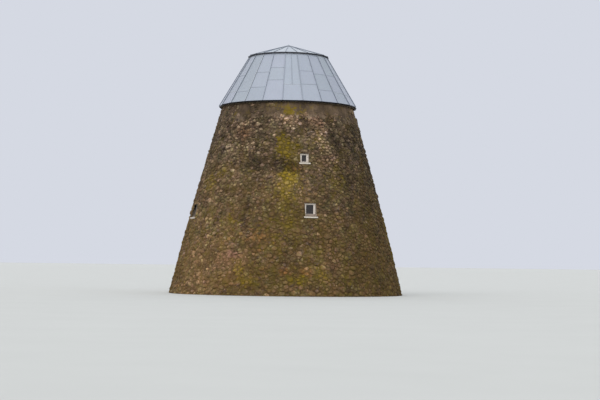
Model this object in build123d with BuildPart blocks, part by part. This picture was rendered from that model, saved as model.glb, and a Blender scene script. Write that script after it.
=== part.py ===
from build123d import *
from math import atan2, cos, degrees, hypot, pi, radians, sin, sqrt, tan
import os

# Fieldstone tower windmill without sails, under a many-sided sheet metal roof.
# Millimetres, +Z up. The origin is the centre of the tower's foot, on the ground.
# The two small windows that stand one above the other face -Y, which is the front.
# Azimuths are degrees round +Z from +X, so the front is at -90.

# Tower: the height of each storey, and the outer radius between them, which gives the wall its batter.
# The wall is laid in flat stretches, whose corners lie on these radii.
wall_sides = 88
ground_storey = 2840
first_storey = 2950
second_storey = 4190
head_storey = 720
base_radius = 6650
first_ledge_radius = 5950
second_ledge_radius = 5145
ring_foot_radius = 3965
wall_head_radius = 3755

# Masonry thins at each floor and leaves a ledge that carries the joists
ground_wall = 1250
first_wall = 1000
second_wall = 750
ring_wall = 600

# Floors
slab_thickness = 120
joist_width = 180
joist_height = 220
joist_spacing = 1000
board_thickness = 40
edge_gap = 8
seat_gap = 0.3

# Windows: a vertical opening, a timber frame with a fixed pane, and a sill that bites into the wall
lower_window_rise = 1460
lower_window_width = 610
lower_window_height = 710
lower_frame_side = 100
lower_frame_top = 80
lower_frame_foot = 140
upper_window_rise = 1470
upper_window_width = 480
upper_window_height = 490
upper_frame_side = 115
upper_frame_top = 80
upper_frame_foot = 50
frame_depth = 110
frame_bead = 38
frame_step = 22
frame_setback = 60
pane_thickness = 6
pane_bite = 10
embrasure_splay = 12
sill_thickness = 95
sill_fall = 20
sill_overlap = 75
sill_nose = 45

# Directions that the openings face
front = -90
right = 0
back = 90
left = 180
left_window_turn = 5
upper_window_turn = 2

# Doorway at the back, with a pair of plank leaves that stay shut
door_width = 1700
door_height = 2250
door_setback = 120
door_post = 110
door_frame_depth = 130
leaf_thickness = 35
leaf_recess = 25
ledge_height = 140
ledge_thickness = 28
ledge_count = 3
threshold_rise = 30
threshold_rounding = 18
lintel_height = 200
lintel_bearing = 250
lintel_depth = 420
lintel_cover = 70

# Roof: a steep skirt of flat facets with a low many-sided cap over it
roof_sides = 22
roof_turn = -1.7
eave_overhang = 160
eave_rise = 40
skirt_rise = 2860
skirt_top_radius = 2215
cap_overhang = 85
cap_lift = 20
cap_rise = 690
boarding = 25
cap_boarding = 20
sheet = 2
sheet_drip = 20
board_joint = 1
seam_width = 12
seam_height = 30
seam_stop = 15
plate_width = 165
plate_height = 120
plate_inset = 5
rafter_width = 70
rafter_depth = 140
ring_width = 120
ring_height = 110
ring_drop = 40
cap_rafter_width = 60
cap_rafter_depth = 100
boss_radius = 170
boss_height = 160
boss_chamfer = 25
fascia_thickness = 25
fascia_height = 100
fascia_inset = 35
cap_fascia_thickness = 18
cap_fascia_height = 48
cap_fascia_inset = 6
cap_opening_radius = 50
finial_radius = 150
finial_knob_radius = 22
finial_knob_height = 32
finial_knob_taper = 15

# Levels that follow from the heights
first_ledge = ground_storey
second_ledge = first_ledge + first_storey
ring_foot = second_ledge + second_storey
wall_head = ring_foot + head_storey
eave_radius = wall_head_radius + eave_overhang
eave_level = wall_head + eave_rise
skirt_top_level = eave_level + skirt_rise
cap_edge_radius = skirt_top_radius + cap_overhang
cap_edge_level = skirt_top_level + cap_lift
cap_apex_level = cap_edge_level + cap_rise
ring_top = skirt_top_level - ring_drop
threshold_height = slab_thickness + threshold_rise

# Tiers of the wall, from the ground up: level, outer radius, level above, radius above, wall
tiers = {
    "ground": (0, base_radius, first_ledge, first_ledge_radius, ground_wall),
    "first": (first_ledge, first_ledge_radius, second_ledge, second_ledge_radius, first_wall),
    "second": (second_ledge, second_ledge_radius, ring_foot, ring_foot_radius, second_wall),
}
head_tier = (ring_foot, ring_foot_radius, wall_head, wall_head_radius, ring_wall)

os.makedirs("parts", exist_ok=True)


def outer_radius(tier, level):
    """Radius of the wall's outer face at a level of a tier."""
    low, low_radius, high, high_radius, _ = tier
    return low_radius + (high_radius - low_radius) * (level - low) / (high - low)


def inner_radius(tier, level):
    """Radius of the wall's inner face at a level of a tier."""
    return outer_radius(tier, level) - tier[4]


def batter(tier):
    """Angle in degrees at which a tier's flat stretches lean in."""
    low, low_radius, high, high_radius, _ = tier
    return degrees(atan2((low_radius - high_radius) * cos(pi / wall_sides), high - low))


def make_drum(tier):
    """Tier of the wall all the way round, before any opening is cut."""
    low, low_radius, high, _, wall = tier
    with BuildPart() as drum:
        with BuildSketch(Plane.XY.offset(low)):
            RegularPolygon(low_radius, wall_sides)
        extrude(amount=high - low, taper=batter(tier))
        with BuildSketch(Plane.XY.offset(low)):
            RegularPolygon(low_radius - wall, wall_sides)
        extrude(amount=high - low, taper=batter(tier), mode=Mode.SUBTRACT)
    return drum


def radial_plane(azimuth):
    """Upright plane through the axis, where x is the radius and y the height."""
    a = radians(azimuth)
    return Plane(origin=(0, 0, 0), x_dir=(cos(a), sin(a), 0), z_dir=(sin(a), -cos(a), 0))


def level_plane(azimuth, level):
    """Level plane at a height, where x is the radius at an azimuth."""
    a = radians(azimuth)
    return Plane(origin=(0, 0, level), x_dir=(cos(a), sin(a), 0), z_dir=(0, 0, 1))


def facing_plane(azimuth, radius, level):
    """Upright plane square to the radius, where x runs along the wall and y up."""
    a = radians(azimuth)
    centre = (radius * cos(a), radius * sin(a), level)
    return Plane(origin=centre, x_dir=(-sin(a), cos(a), 0), z_dir=(cos(a), sin(a), 0))


def save(piece, name):
    """Labels a finished piece and writes it as a node."""
    piece.part.label = name
    export_step(piece.part, f"parts/{name}.step")


# Windows

windows = {
    "front_lower": ("first", front, "lower"),
    "right_lower": ("first", right, "lower"),
    "back_lower": ("first", back, "lower"),
    "left_lower": ("first", left + left_window_turn, "lower"),
    "front_upper": ("second", front - upper_window_turn, "upper"),
    "back_upper": ("second", back, "upper"),
}
window_sizes = {
    "lower": (first_ledge + lower_window_rise, lower_window_width, lower_window_height),
    "upper": (second_ledge + upper_window_rise, upper_window_width, upper_window_height),
}
frame_members = {
    "lower": (lower_frame_side, lower_frame_top, lower_frame_foot),
    "upper": (upper_frame_side, upper_frame_top, upper_frame_foot),
}


def frame_front(tier, kind):
    """Radius of the frame's front face, set back from the wall at the window's head."""
    level, _, height = window_sizes[kind]
    return outer_radius(tiers[tier], level + height) - frame_setback


def daylight(kind):
    """Clear width, height and centre height over the sill of the glass."""
    _, width, height = window_sizes[kind]
    side, top, foot = frame_members[kind]
    clear = height - top - foot
    return width - 2 * side, clear, foot + clear / 2


def make_sill(tier, azimuth, kind):
    """Sill slab: flat under the frame, then falling to a nose past the wall's face."""
    level, width, _ = window_sizes[kind]
    face = frame_front(tier, kind)
    nose = outer_radius(tiers[tier], level - sill_thickness) + sill_nose
    with BuildPart() as sill:
        with BuildSketch(radial_plane(azimuth)):
            with BuildLine():
                Polyline(
                    (face - frame_depth, level),
                    (face, level),
                    (nose, level - sill_fall),
                    (nose, level - sill_thickness),
                    (face - frame_depth, level - sill_thickness),
                    close=True,
                )
            make_face()
        extrude(amount=width / 2 + sill_overlap, both=True)
    return sill


def make_pane(tier, azimuth, kind):
    """Glass that sits in a groove round the frame's daylight."""
    level = window_sizes[kind][0]
    width, height, middle = daylight(kind)
    radius = frame_front(tier, kind) - frame_depth / 2 - pane_thickness / 2
    with BuildPart() as pane:
        with BuildSketch(facing_plane(azimuth, radius, level + middle)):
            Rectangle(width + 2 * pane_bite, height + 2 * pane_bite)
        extrude(amount=pane_thickness)
    return pane


def make_frame(tier, azimuth, kind, pane):
    """Timber frame that fills the opening, with a stepped front and a groove for the pane."""
    level, width, height = window_sizes[kind]
    clear_width, clear_height, middle = daylight(kind)
    face = frame_front(tier, kind)
    with BuildPart() as frame:
        with BuildSketch(facing_plane(azimuth, face, level + height / 2)):
            Rectangle(width, height)
        extrude(amount=-frame_depth)
        with BuildSketch(facing_plane(azimuth, face, level + height / 2)):
            Rectangle(width - 2 * frame_bead, height - 2 * frame_bead)
        extrude(amount=-frame_step, mode=Mode.SUBTRACT)
        with BuildSketch(facing_plane(azimuth, face, level + middle)):
            Rectangle(clear_width, clear_height)
        extrude(amount=-frame_depth, mode=Mode.SUBTRACT)
        add(pane.part, mode=Mode.SUBTRACT)
    return frame


def make_window_cut(tier, azimuth, kind):
    """Space that a window takes out of the wall: the opening and its embrasure, splayed inwards."""
    level, width, height = window_sizes[kind]
    frame_back = frame_front(tier, kind) - frame_depth
    outside = outer_radius(tiers[tier], level)
    inside = inner_radius(tiers[tier], second_ledge if tier == "first" else ring_foot)
    splay = (frame_back - inside) * tan(radians(embrasure_splay))
    with BuildPart() as cut:
        # The embrasure widens into the room, in plan and in height
        with BuildSketch(level_plane(azimuth, level - splay)):
            with BuildLine():
                Polyline(
                    (frame_back, -width / 2),
                    (frame_back, width / 2),
                    (inside, width / 2 + splay),
                    (inside, -width / 2 - splay),
                    close=True,
                )
            make_face()
        extrude(amount=height + 2 * splay)
        with BuildSketch(radial_plane(azimuth)):
            with BuildLine():
                Polyline(
                    (frame_back, level),
                    (frame_back, level + height),
                    (inside, level + height + splay),
                    (inside, level - splay),
                    close=True,
                )
            make_face()
        extrude(amount=width / 2 + splay, both=True, mode=Mode.INTERSECT)
        with BuildSketch(facing_plane(azimuth, frame_back, level + height / 2)):
            Rectangle(width, height)
        extrude(amount=outside - frame_back + sill_nose)
    return cut


sills = {}
panes = {}
window_cuts = {}
for name, (tier, azimuth, kind) in windows.items():
    window_cuts[name] = make_window_cut(tier, azimuth, kind)
    sills[name] = make_sill(tier, azimuth, kind)
    panes[name] = make_pane(tier, azimuth, kind)
    save(make_frame(tier, azimuth, kind, panes[name]), f"{name}_window_frame")

for kind in window_sizes:
    with BuildPart() as kind_sills:
        for name, sill in sills.items():
            if windows[name][2] == kind:
                add(sill.part)
    save(kind_sills, f"{kind}_window_sills")
    with BuildPart() as kind_panes:
        for name, pane in panes.items():
            if windows[name][2] == kind:
                add(pane.part)
    save(kind_panes, f"{kind}_window_panes")


# Doorway

door_face = outer_radius(tiers["ground"], door_height) - door_setback
lintel_face = (
    sqrt(
        outer_radius(tiers["ground"], door_height + lintel_height) ** 2
        - (door_width / 2 + lintel_bearing) ** 2
    )
    - lintel_cover
)
slab_radius = inner_radius(tiers["ground"], 0) - seat_gap

with BuildPart() as lintel:
    with BuildSketch(facing_plane(back, lintel_face, door_height + lintel_height / 2)):
        Rectangle(door_width + 2 * lintel_bearing, lintel_height)
    extrude(amount=-lintel_depth)
save(lintel, "door_lintel")

with BuildPart() as threshold:
    with BuildSketch():
        with Locations((0, base_radius / 2)):
            Rectangle(door_width - 2 * seat_gap, base_radius)
        RegularPolygon(slab_radius + seat_gap, wall_sides, mode=Mode.SUBTRACT)
    extrude(amount=threshold_height)
    nose = threshold.edges().filter_by(Axis.X).group_by(Axis.Y)[-1].sort_by(Axis.Z)[-1]
    fillet(nose, threshold_rounding)
save(threshold, "door_threshold")

with BuildPart() as door_frame:
    with BuildSketch(facing_plane(back, door_face, 0)):
        with BuildLine():
            Polyline(
                (-door_width / 2, threshold_height),
                (-door_width / 2, door_height),
                (door_width / 2, door_height),
                (door_width / 2, threshold_height),
                (door_width / 2 - door_post, threshold_height),
                (door_width / 2 - door_post, door_height - door_post),
                (-door_width / 2 + door_post, door_height - door_post),
                (-door_width / 2 + door_post, threshold_height),
                close=True,
            )
        make_face()
    extrude(amount=-door_frame_depth)
save(door_frame, "door_frame")

leaf_width = door_width / 2 - door_post - 1.5 * seat_gap
leaf_height = door_height - door_post - threshold_height - 2 * seat_gap
leaf_foot = threshold_height + seat_gap
leaf_face = door_face - leaf_recess
leaf_middle = leaf_foot + leaf_height / 2
ledge_spacing = (leaf_height - 2 * ledge_height) / (ledge_count - 1)
for name, side in {"left": 1, "right": -1}.items():
    centre_line = side * (leaf_width + seat_gap) / 2
    with BuildPart() as leaf:
        with BuildSketch(facing_plane(back, leaf_face, leaf_middle)):
            with Locations((centre_line, 0)):
                Rectangle(leaf_width, leaf_height)
        extrude(amount=-leaf_thickness)
        # Ledges run across the inner face, which hold the planks together
        with BuildSketch(facing_plane(back, leaf_face - leaf_thickness, leaf_middle)):
            for number in range(ledge_count):
                with Locations((centre_line, (number - (ledge_count - 1) / 2) * ledge_spacing)):
                    Rectangle(leaf_width - 2 * ledge_thickness, ledge_height)
        extrude(amount=-ledge_thickness)
    save(leaf, f"door_leaf_{name}")


# Tower wall, a quarter at a time

quarters = {"front": front, "right": right, "back": back, "left": left}
for storey, tier in tiers.items():
    drum = make_drum(tier)
    for side, azimuth in quarters.items():
        with BuildPart() as quarter:
            add(drum.part)
            for diagonal in (azimuth - 45, azimuth + 45):
                split(bisect_by=facing_plane(diagonal, 0, 0), keep=Keep.TOP)
            for name, (window_tier, _, _) in windows.items():
                if window_tier == storey and name.startswith(side):
                    add(window_cuts[name].part, mode=Mode.SUBTRACT)
                    add(sills[name].part, mode=Mode.SUBTRACT)
            if storey == "ground" and side == "back":
                with BuildSketch(facing_plane(back, 0, door_height / 2)):
                    Rectangle(door_width, door_height)
                extrude(amount=base_radius, mode=Mode.SUBTRACT)
                add(lintel.part, mode=Mode.SUBTRACT)
        save(quarter, f"{storey}_wall_{side}")

save(make_drum(head_tier), "wall_head_ring")


# Floors

with BuildPart() as slab:
    with BuildSketch():
        RegularPolygon(slab_radius, wall_sides)
    extrude(amount=slab_thickness, taper=batter(tiers["ground"]))
save(slab, "ground_floor_slab")

for storey, ledge in {"first": first_ledge, "second": second_ledge}.items():
    tier = tiers[storey]
    joist_reach = inner_radius(tier, ledge + joist_height) - edge_gap
    boards_radius = inner_radius(tier, ledge + joist_height + board_thickness) - edge_gap
    pairs = int((joist_reach - joist_width) / joist_spacing)
    with BuildPart() as joists:
        for number in range(-pairs, pairs + 1):
            offset = number * joist_spacing
            half = sqrt(joist_reach**2 - (abs(offset) + joist_width / 2) ** 2)
            with BuildSketch(Plane.XY.offset(ledge)):
                with Locations((offset, 0)):
                    Rectangle(joist_width, 2 * half)
            extrude(amount=joist_height)
    save(joists, f"{storey}_floor_joists")
    with BuildPart() as boards:
        with BuildSketch(Plane.XY.offset(ledge + joist_height)):
            RegularPolygon(boards_radius, wall_sides)
        extrude(amount=board_thickness)
    save(boards, f"{storey}_floor_boards")


# Roof geometry shared by its pieces

turn = 360 / roof_sides
first_hip = front + roof_turn
flat_share = cos(radians(turn / 2))


def hips(count=roof_sides):
    """Places a piece made at azimuth 0 on every hip, or on an even share of them."""
    return PolarLocations(0, count, start_angle=first_hip)


def facets():
    """Places a piece made at azimuth 0 on every facet."""
    return PolarLocations(0, roof_sides, start_angle=first_hip + turn / 2)


def facet_plane(low_radius, low_level, high_radius, high_level, lift=0.0):
    """Plane of the facet at azimuth 0: x along the eave, y up the slope, lifted off the rafters."""
    run = (low_radius - high_radius) * flat_share
    rise = high_level - low_level
    length = hypot(run, rise)
    normal = (rise / length, 0, run / length)
    foot = (low_radius * flat_share + lift * normal[0], 0, low_level + lift * normal[2])
    return Plane(origin=foot, x_dir=(0, 1, 0), z_dir=normal)


def hip_plane(low_radius, low_level, high_radius, high_level, lift=0.0):
    """Plane along the hip at azimuth 0: x across the hip and y up it."""
    run = low_radius - high_radius
    rise = high_level - low_level
    length = hypot(run, rise)
    normal = (rise / length, 0, run / length)
    foot = (low_radius + lift * normal[0], 0, low_level + lift * normal[2])
    return Plane(origin=foot, x_dir=(0, 1, 0), z_dir=normal)


def half_bend(low_radius, low_level, high_radius, high_level):
    """Half the angle in degrees by which the roof bends at a hip."""
    run = (low_radius - high_radius) * flat_share
    rise = high_level - low_level
    bend = rise / hypot(run, rise) * sin(radians(turn / 2))
    return degrees(atan2(bend, sqrt(1 - bend**2)))


def facet_slab(low_radius, high_radius, slope, foot, joint, lift, thickness, plane_of):
    """One flat facet slab at azimuth 0, mitred short of the hips by a joint."""
    half_foot = low_radius * sin(radians(turn / 2))
    half_top = high_radius * sin(radians(turn / 2))
    narrowing = (half_foot - half_top) / slope
    with BuildPart() as slab_piece:
        with BuildSketch(plane_of(lift)):
            with BuildLine():
                Polyline(
                    (-half_foot - narrowing * foot + joint, -foot),
                    (half_foot + narrowing * foot - joint, -foot),
                    (half_top - joint, slope),
                    (-half_top + joint, slope),
                    close=True,
                )
            make_face()
        extrude(amount=thickness)
    return slab_piece


def ring_length(outer, width, foot, height, joint):
    """One straight length of a many-sided ring at azimuth 0, between two hips."""
    half_outer = outer * sin(radians(turn / 2)) - joint
    half_inner = (outer - width) * sin(radians(turn / 2)) - joint
    with BuildPart() as length:
        with BuildSketch(Plane.XY.offset(foot)):
            with BuildLine():
                Polyline(
                    ((outer - width) * flat_share, -half_inner),
                    (outer * flat_share, -half_outer),
                    (outer * flat_share, half_outer),
                    ((outer - width) * flat_share, half_inner),
                    close=True,
                )
            make_face()
        extrude(amount=height)
    return length


def spread(piece, places, name):
    """Copies a piece to every place and writes the copies as one node."""
    with BuildPart() as copies:
        with places:
            add(piece.part)
    save(copies, name)


skirt = (eave_radius, eave_level, skirt_top_radius, skirt_top_level)
cap = (cap_edge_radius, cap_edge_level, 0, cap_apex_level)
skirt_slope = hypot((eave_radius - skirt_top_radius) * flat_share, skirt_top_level - eave_level)
skirt_steepness = (skirt_top_level - eave_level) / (eave_radius - skirt_top_radius)
cap_steepness = (cap_apex_level - cap_edge_level) / cap_edge_radius
skirt_drop = rafter_width / 2 * tan(radians(half_bend(*skirt))) + seat_gap
cap_drop = cap_rafter_width / 2 * tan(radians(half_bend(*cap))) + seat_gap


def skirt_hip_radius(level):
    """Radius of the skirt's hip, under the boarding, at a level."""
    return eave_radius - (level - eave_level) / skirt_steepness


def cap_hip_level(radius):
    """Level of the cap's hip, under the boarding, at a radius."""
    return cap_apex_level - radius * cap_steepness


cap_fascia_outer = cap_edge_radius - cap_fascia_inset
cap_fascia_top = cap_hip_level(cap_fascia_outer) - seat_gap
cap_fascia_foot = cap_fascia_top - cap_fascia_height


# Skirt

plate_outer = wall_head_radius - plate_inset
plate_top = wall_head + plate_height
spread(ring_length(plate_outer, plate_width, wall_head, plate_height, board_joint), facets(), "wall_plate")

skirt_lean = atan2(skirt_steepness, 1)
upright_depth = rafter_depth / cos(skirt_lean) + skirt_drop / cos(skirt_lean)
upright_drop = skirt_drop / cos(skirt_lean)
ring_foot_level = ring_top - ring_height
with BuildPart() as rafter:
    with BuildSketch(Plane.XZ):
        with BuildLine():
            Polyline(
                (skirt_hip_radius(eave_level + upright_drop), eave_level),
                (skirt_hip_radius(ring_foot_level + upright_drop), ring_foot_level),
                (skirt_hip_radius(ring_foot_level + upright_depth), ring_foot_level),
                (skirt_hip_radius(plate_top + upright_depth), plate_top),
                (plate_outer + seat_gap, plate_top),
                (plate_outer + seat_gap, eave_level),
                close=True,
            )
        make_face()
    extrude(amount=rafter_width / 2, both=True)
spread(rafter, hips(), "skirt_rafters")

spread(
    ring_length(
        eave_radius - fascia_inset, fascia_thickness, eave_level - fascia_height, fascia_height, board_joint
    ),
    facets(),
    "eave_fascia",
)


def skirt_plane(lift):
    """Plane of a skirt facet, lifted off the rafters."""
    return facet_plane(*skirt, lift=lift)


spread(
    facet_slab(eave_radius, skirt_top_radius, skirt_slope, 0, board_joint, 0, boarding, skirt_plane),
    facets(),
    "skirt_boarding",
)
spread(
    facet_slab(
        eave_radius, skirt_top_radius, skirt_slope, sheet_drip, board_joint, boarding, sheet, skirt_plane
    ),
    facets(),
    "skirt_sheets",
)

skirt_skin = boarding + sheet
skirt_bend = radians(half_bend(*skirt))
skirt_hip_length = hypot(eave_radius - skirt_top_radius, skirt_top_level - eave_level)
# The seams end short of the cap's fascia, which hangs in front of the skirt's top
seam_top_share = (cap_fascia_foot - seam_stop - eave_level) / (skirt_top_level - eave_level)
seam_length = skirt_hip_length * seam_top_share - seam_height / skirt_steepness
with BuildPart() as skirt_seam:
    with BuildSketch(hip_plane(*skirt, lift=skirt_skin / cos(skirt_bend))):
        with Locations((0, (seam_length - sheet_drip) / 2)):
            Rectangle(seam_width, seam_length + sheet_drip)
    extrude(amount=seam_height)
spread(skirt_seam, hips(), "skirt_seams")


# Ring under the cap, and the cap

knee_outer = skirt_hip_radius(ring_top) - edge_gap
spread(
    ring_length(knee_outer, ring_width, ring_top - ring_height, ring_height, board_joint),
    facets(),
    "knee_ring",
)

cap_lean = atan2(cap_steepness, 1)
cap_upright_drop = cap_drop / cos(cap_lean)
cap_upright_depth = (cap_rafter_depth + cap_drop) / cos(cap_lean)
cap_rafter_tip = skirt_top_radius - cap_rafter_width / 2 * tan(radians(turn / 2)) - seat_gap
cap_rafter_head = boss_radius + seat_gap
cap_seat = (cap_apex_level - cap_upright_depth - ring_top) / cap_steepness
with BuildPart() as cap_rafter:
    with BuildSketch(Plane.XZ):
        with BuildLine():
            Polyline(
                (cap_rafter_head, cap_hip_level(cap_rafter_head) - cap_upright_drop),
                (cap_rafter_tip, cap_hip_level(cap_rafter_tip) - cap_upright_drop),
                (cap_rafter_tip, ring_top),
                (cap_seat, ring_top),
                (cap_rafter_head, cap_hip_level(cap_rafter_head) - cap_upright_depth),
                close=True,
            )
        make_face()
    extrude(amount=cap_rafter_width / 2, both=True)
spread(cap_rafter, hips(roof_sides // 2), "cap_rafters")

with BuildPart() as boss:
    with BuildSketch(Plane.XY.offset(cap_hip_level(boss_radius / flat_share) - seat_gap)):
        RegularPolygon(boss_radius, roof_sides, rotation=first_hip)
    extrude(amount=-boss_height)
    chamfer(boss.edges().group_by(Axis.Z)[0], boss_chamfer)
save(boss, "cap_boss")

cap_slope = hypot(cap_edge_radius * flat_share, cap_apex_level - cap_edge_level)
cap_reach = cap_slope * (1 - cap_opening_radius / cap_edge_radius)


def cap_plane(lift):
    """Plane of a cap facet, lifted off the rafters."""
    return facet_plane(*cap, lift=lift)


spread(
    facet_slab(cap_edge_radius, cap_opening_radius, cap_reach, 0, board_joint, 0, cap_boarding, cap_plane),
    facets(),
    "cap_boarding",
)
spread(
    facet_slab(
        cap_edge_radius, cap_opening_radius, cap_reach, sheet_drip, board_joint, cap_boarding, sheet, cap_plane
    ),
    facets(),
    "cap_sheets",
)

cap_skin = cap_boarding + sheet
cap_bend = radians(half_bend(*cap))
cap_hip_length = hypot(cap_edge_radius, cap_apex_level - cap_edge_level)
cap_seam_length = cap_hip_length * (1 - cap_opening_radius / cap_edge_radius)
with BuildPart() as cap_seam:
    with BuildSketch(hip_plane(*cap, lift=cap_skin / cos(cap_bend))):
        with Locations((0, (cap_seam_length - sheet_drip) / 2)):
            Rectangle(seam_width, cap_seam_length + sheet_drip)
    extrude(amount=seam_height)
spread(cap_seam, hips(roof_sides // 2), "cap_seams")

spread(
    ring_length(cap_fascia_outer, cap_fascia_thickness, cap_fascia_foot, cap_fascia_height, board_joint),
    facets(),
    "cap_fascia",
)

# The finial is a shallow many-sided cone of sheet that rides on the seams, with a small knob on top
finial_peak = cap_apex_level + (cap_skin + seam_height) / cos(cap_lean) + seat_gap
finial_edge = finial_peak - finial_radius * cap_steepness
finial_neck = finial_peak - finial_knob_radius * cap_steepness
finial_taper = degrees(atan2(flat_share, cap_steepness))


def finial_outline(level, radius):
    """Many-sided outline of the finial at a level, turned with the roof's hips."""
    with BuildSketch(Plane.XY.offset(level)) as outline:
        RegularPolygon(radius, roof_sides, rotation=first_hip)
    return outline.sketch


with BuildPart() as finial:
    extrude(finial_outline(finial_edge, finial_radius), amount=sheet)
    extrude(
        finial_outline(finial_edge + sheet, finial_radius),
        amount=finial_neck - finial_edge,
        taper=finial_taper,
    )
    extrude(
        finial_outline(finial_edge, finial_radius),
        amount=finial_neck - finial_edge,
        taper=finial_taper,
        mode=Mode.SUBTRACT,
    )
    extrude(
        finial_outline(finial_neck + sheet, finial_knob_radius),
        amount=finial_knob_height,
        taper=finial_knob_taper,
    )
save(finial, "finial_cap")
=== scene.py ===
"""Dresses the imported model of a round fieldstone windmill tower.

Lengths are metres, +Z is up, and the origin is the middle of the tower's foot. Azimuths are
degrees round +Z from +X, so the front, with two windows one above the other, faces -90. Sizes
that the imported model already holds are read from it.
"""

from __future__ import annotations

import logging
import math
from contextlib import contextmanager
from dataclasses import dataclass
from enum import Enum
from functools import cached_property
from itertools import product
from typing import Any, Iterable, Iterator, Sequence

import bpy
import numpy as np
from mathutils import Matrix, Vector
from mathutils.kdtree import KDTree

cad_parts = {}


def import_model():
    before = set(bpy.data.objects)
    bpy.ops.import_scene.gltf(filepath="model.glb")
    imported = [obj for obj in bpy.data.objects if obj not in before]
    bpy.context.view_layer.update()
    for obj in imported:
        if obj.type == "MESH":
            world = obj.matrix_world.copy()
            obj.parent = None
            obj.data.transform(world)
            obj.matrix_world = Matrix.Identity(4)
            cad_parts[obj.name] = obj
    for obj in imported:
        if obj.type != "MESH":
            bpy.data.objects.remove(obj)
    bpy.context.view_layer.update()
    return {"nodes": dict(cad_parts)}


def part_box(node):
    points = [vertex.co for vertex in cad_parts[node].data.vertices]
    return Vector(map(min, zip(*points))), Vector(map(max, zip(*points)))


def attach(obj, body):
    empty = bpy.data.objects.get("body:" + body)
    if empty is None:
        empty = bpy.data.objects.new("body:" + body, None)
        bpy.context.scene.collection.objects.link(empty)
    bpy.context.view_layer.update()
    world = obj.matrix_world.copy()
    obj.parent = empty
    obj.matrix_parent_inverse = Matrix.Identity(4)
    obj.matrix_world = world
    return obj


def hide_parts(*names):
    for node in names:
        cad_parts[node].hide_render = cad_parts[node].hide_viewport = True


LOG = logging.getLogger("windmill")
Piece = bpy.types.Object

BODY = "root"
FRAME_END = "_window_frame"
FRONT = -90.0
BACK = 90.0
# Azimuth of the flank of the wall that is given painted shade
SHADED_SIDE = -18.0


# Colour and geometry helpers


def srgb(red: float, green: float, blue: float) -> tuple[float, float, float, float]:
    """Turns a colour as it is seen, 0 to 255, into the linear colour that a shader takes.

    Args:
        red: Red, 0 to 255.
        green: Green, 0 to 255.
        blue: Blue, 0 to 255.

    Returns:
        Linear red, green and blue, and an alpha of one.
    """
    channels = (c / 255.0 for c in (red, green, blue))
    linear = (c / 12.92 if c <= 0.04045 else ((c + 0.055) / 1.055) ** 2.4 for c in channels)
    return (*linear, 1.0)


def radial(azimuth: float) -> Vector:
    """Unit vector that points out from the axis at an azimuth in degrees."""
    return Vector((math.cos(math.radians(azimuth)), math.sin(math.radians(azimuth)), 0.0))


def sideways(azimuth: float) -> Vector:
    """Unit vector along the wall at an azimuth, counter-clockwise seen from above."""
    return Vector((-math.sin(math.radians(azimuth)), math.cos(math.radians(azimuth)), 0.0))


def round_points(turn: Any, radius: Any, level: Any) -> np.ndarray:
    """Points at azimuths in radians, distances from the axis and levels."""
    return np.stack([radius * np.cos(turn), radius * np.sin(turn), level], axis=-1)


def turned_apart(one: Any, other: Any) -> Any:
    """Angle in radians from one azimuth to another, the short way round."""
    return (one - other + math.pi) % (2 * math.pi) - math.pi


# Modelling steps on a piece, as by hand


def only(piece: Piece) -> None:
    """Selects one piece and makes it active.

    Args:
        piece: The piece.
    """
    bpy.ops.object.select_all(action="DESELECT")
    piece.select_set(True)
    bpy.context.view_layer.objects.active = piece


def named(name: str) -> Piece:
    """Names the piece that is active.

    Args:
        name: Its name.

    Returns:
        The piece.
    """
    piece = bpy.context.active_object
    piece.name = piece.data.name = name
    return piece


def fix(piece: Piece) -> None:
    """Moves a piece's place, turn and scale into its mesh."""
    only(piece)
    bpy.ops.object.transform_apply(location=True, rotation=True, scale=True)


def add_piece(kind: str, name: str, **settings: Any) -> Piece:
    """Adds a primitive.

    Args:
        kind: The primitive, as its operator names it.
        name: Name of the piece.
        **settings: Settings of the operator.

    Returns:
        The piece, with its place in its mesh.
    """
    bpy.ops.object.select_all(action="DESELECT")
    getattr(bpy.ops.mesh, f"primitive_{kind}_add")(**settings)
    piece = named(name)
    fix(piece)
    return piece


def block(name: str, low: Sequence[float], high: Sequence[float]) -> Piece:
    """Adds a box.

    Args:
        name: Name of the piece.
        low: Its lowest corner.
        high: Its highest corner.

    Returns:
        The box.
    """
    middle = [(a + b) / 2 for a, b in zip(low, high)]
    size = [b - a for a, b in zip(low, high)]
    return add_piece("cube", name, size=1.0, location=middle, scale=size)


def grid(name: str, columns: int, rows: int) -> Piece:
    """Adds a flat grid, from -1 to 1 both ways."""
    return add_piece("grid", name, x_subdivisions=columns, y_subdivisions=rows, size=2.0)


def rod(name: str, place: tuple, radius: float, length: float, sides: int, upright: bool = False) -> Piece:
    """Adds a cylinder that lies along Y or stands upright.

    Args:
        name: Name of the piece.
        place: Its middle.
        radius: Its radius.
        length: Its length.
        sides: How many sides it has.
        upright: Whether it stands upright.

    Returns:
        The cylinder.
    """
    turn = (0.0 if upright else math.pi / 2, 0.0, 0.0)
    sizes = {"vertices": sides, "radius": radius, "depth": length}
    return add_piece("cylinder", name, location=place, rotation=turn, **sizes)


def modify(piece: Piece, kind: str, **settings: Any) -> None:
    """Applies one modifier.

    Args:
        piece: The piece.
        kind: The modifier's type.
        **settings: Its settings.
    """
    only(piece)
    modifier = piece.modifiers.new(kind.lower(), kind)
    for key, value in settings.items():
        setattr(modifier, key, value)
    bpy.ops.object.modifier_apply(modifier=modifier.name)


def bevel(piece: Piece, width: float, segments: int = 2) -> None:
    """Rounds the edges of a piece that bend by more than 35 degrees."""
    limit = {"limit_method": "ANGLE", "angle_limit": math.radians(35.0), "use_clamp_overlap": True}
    modify(piece, "BEVEL", width=width, segments=segments, **limit)


def thicken(piece: Piece, thickness: float) -> None:
    """Gives a sheet a thickness, inwards from its face."""
    modify(piece, "SOLIDIFY", thickness=thickness, offset=-1.0)


def smooth(piece: Piece, angle: float) -> None:
    """Shades a piece smooth, up to an angle between faces."""
    only(piece)
    bpy.ops.object.shade_smooth_by_angle(angle=math.radians(angle))


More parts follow.
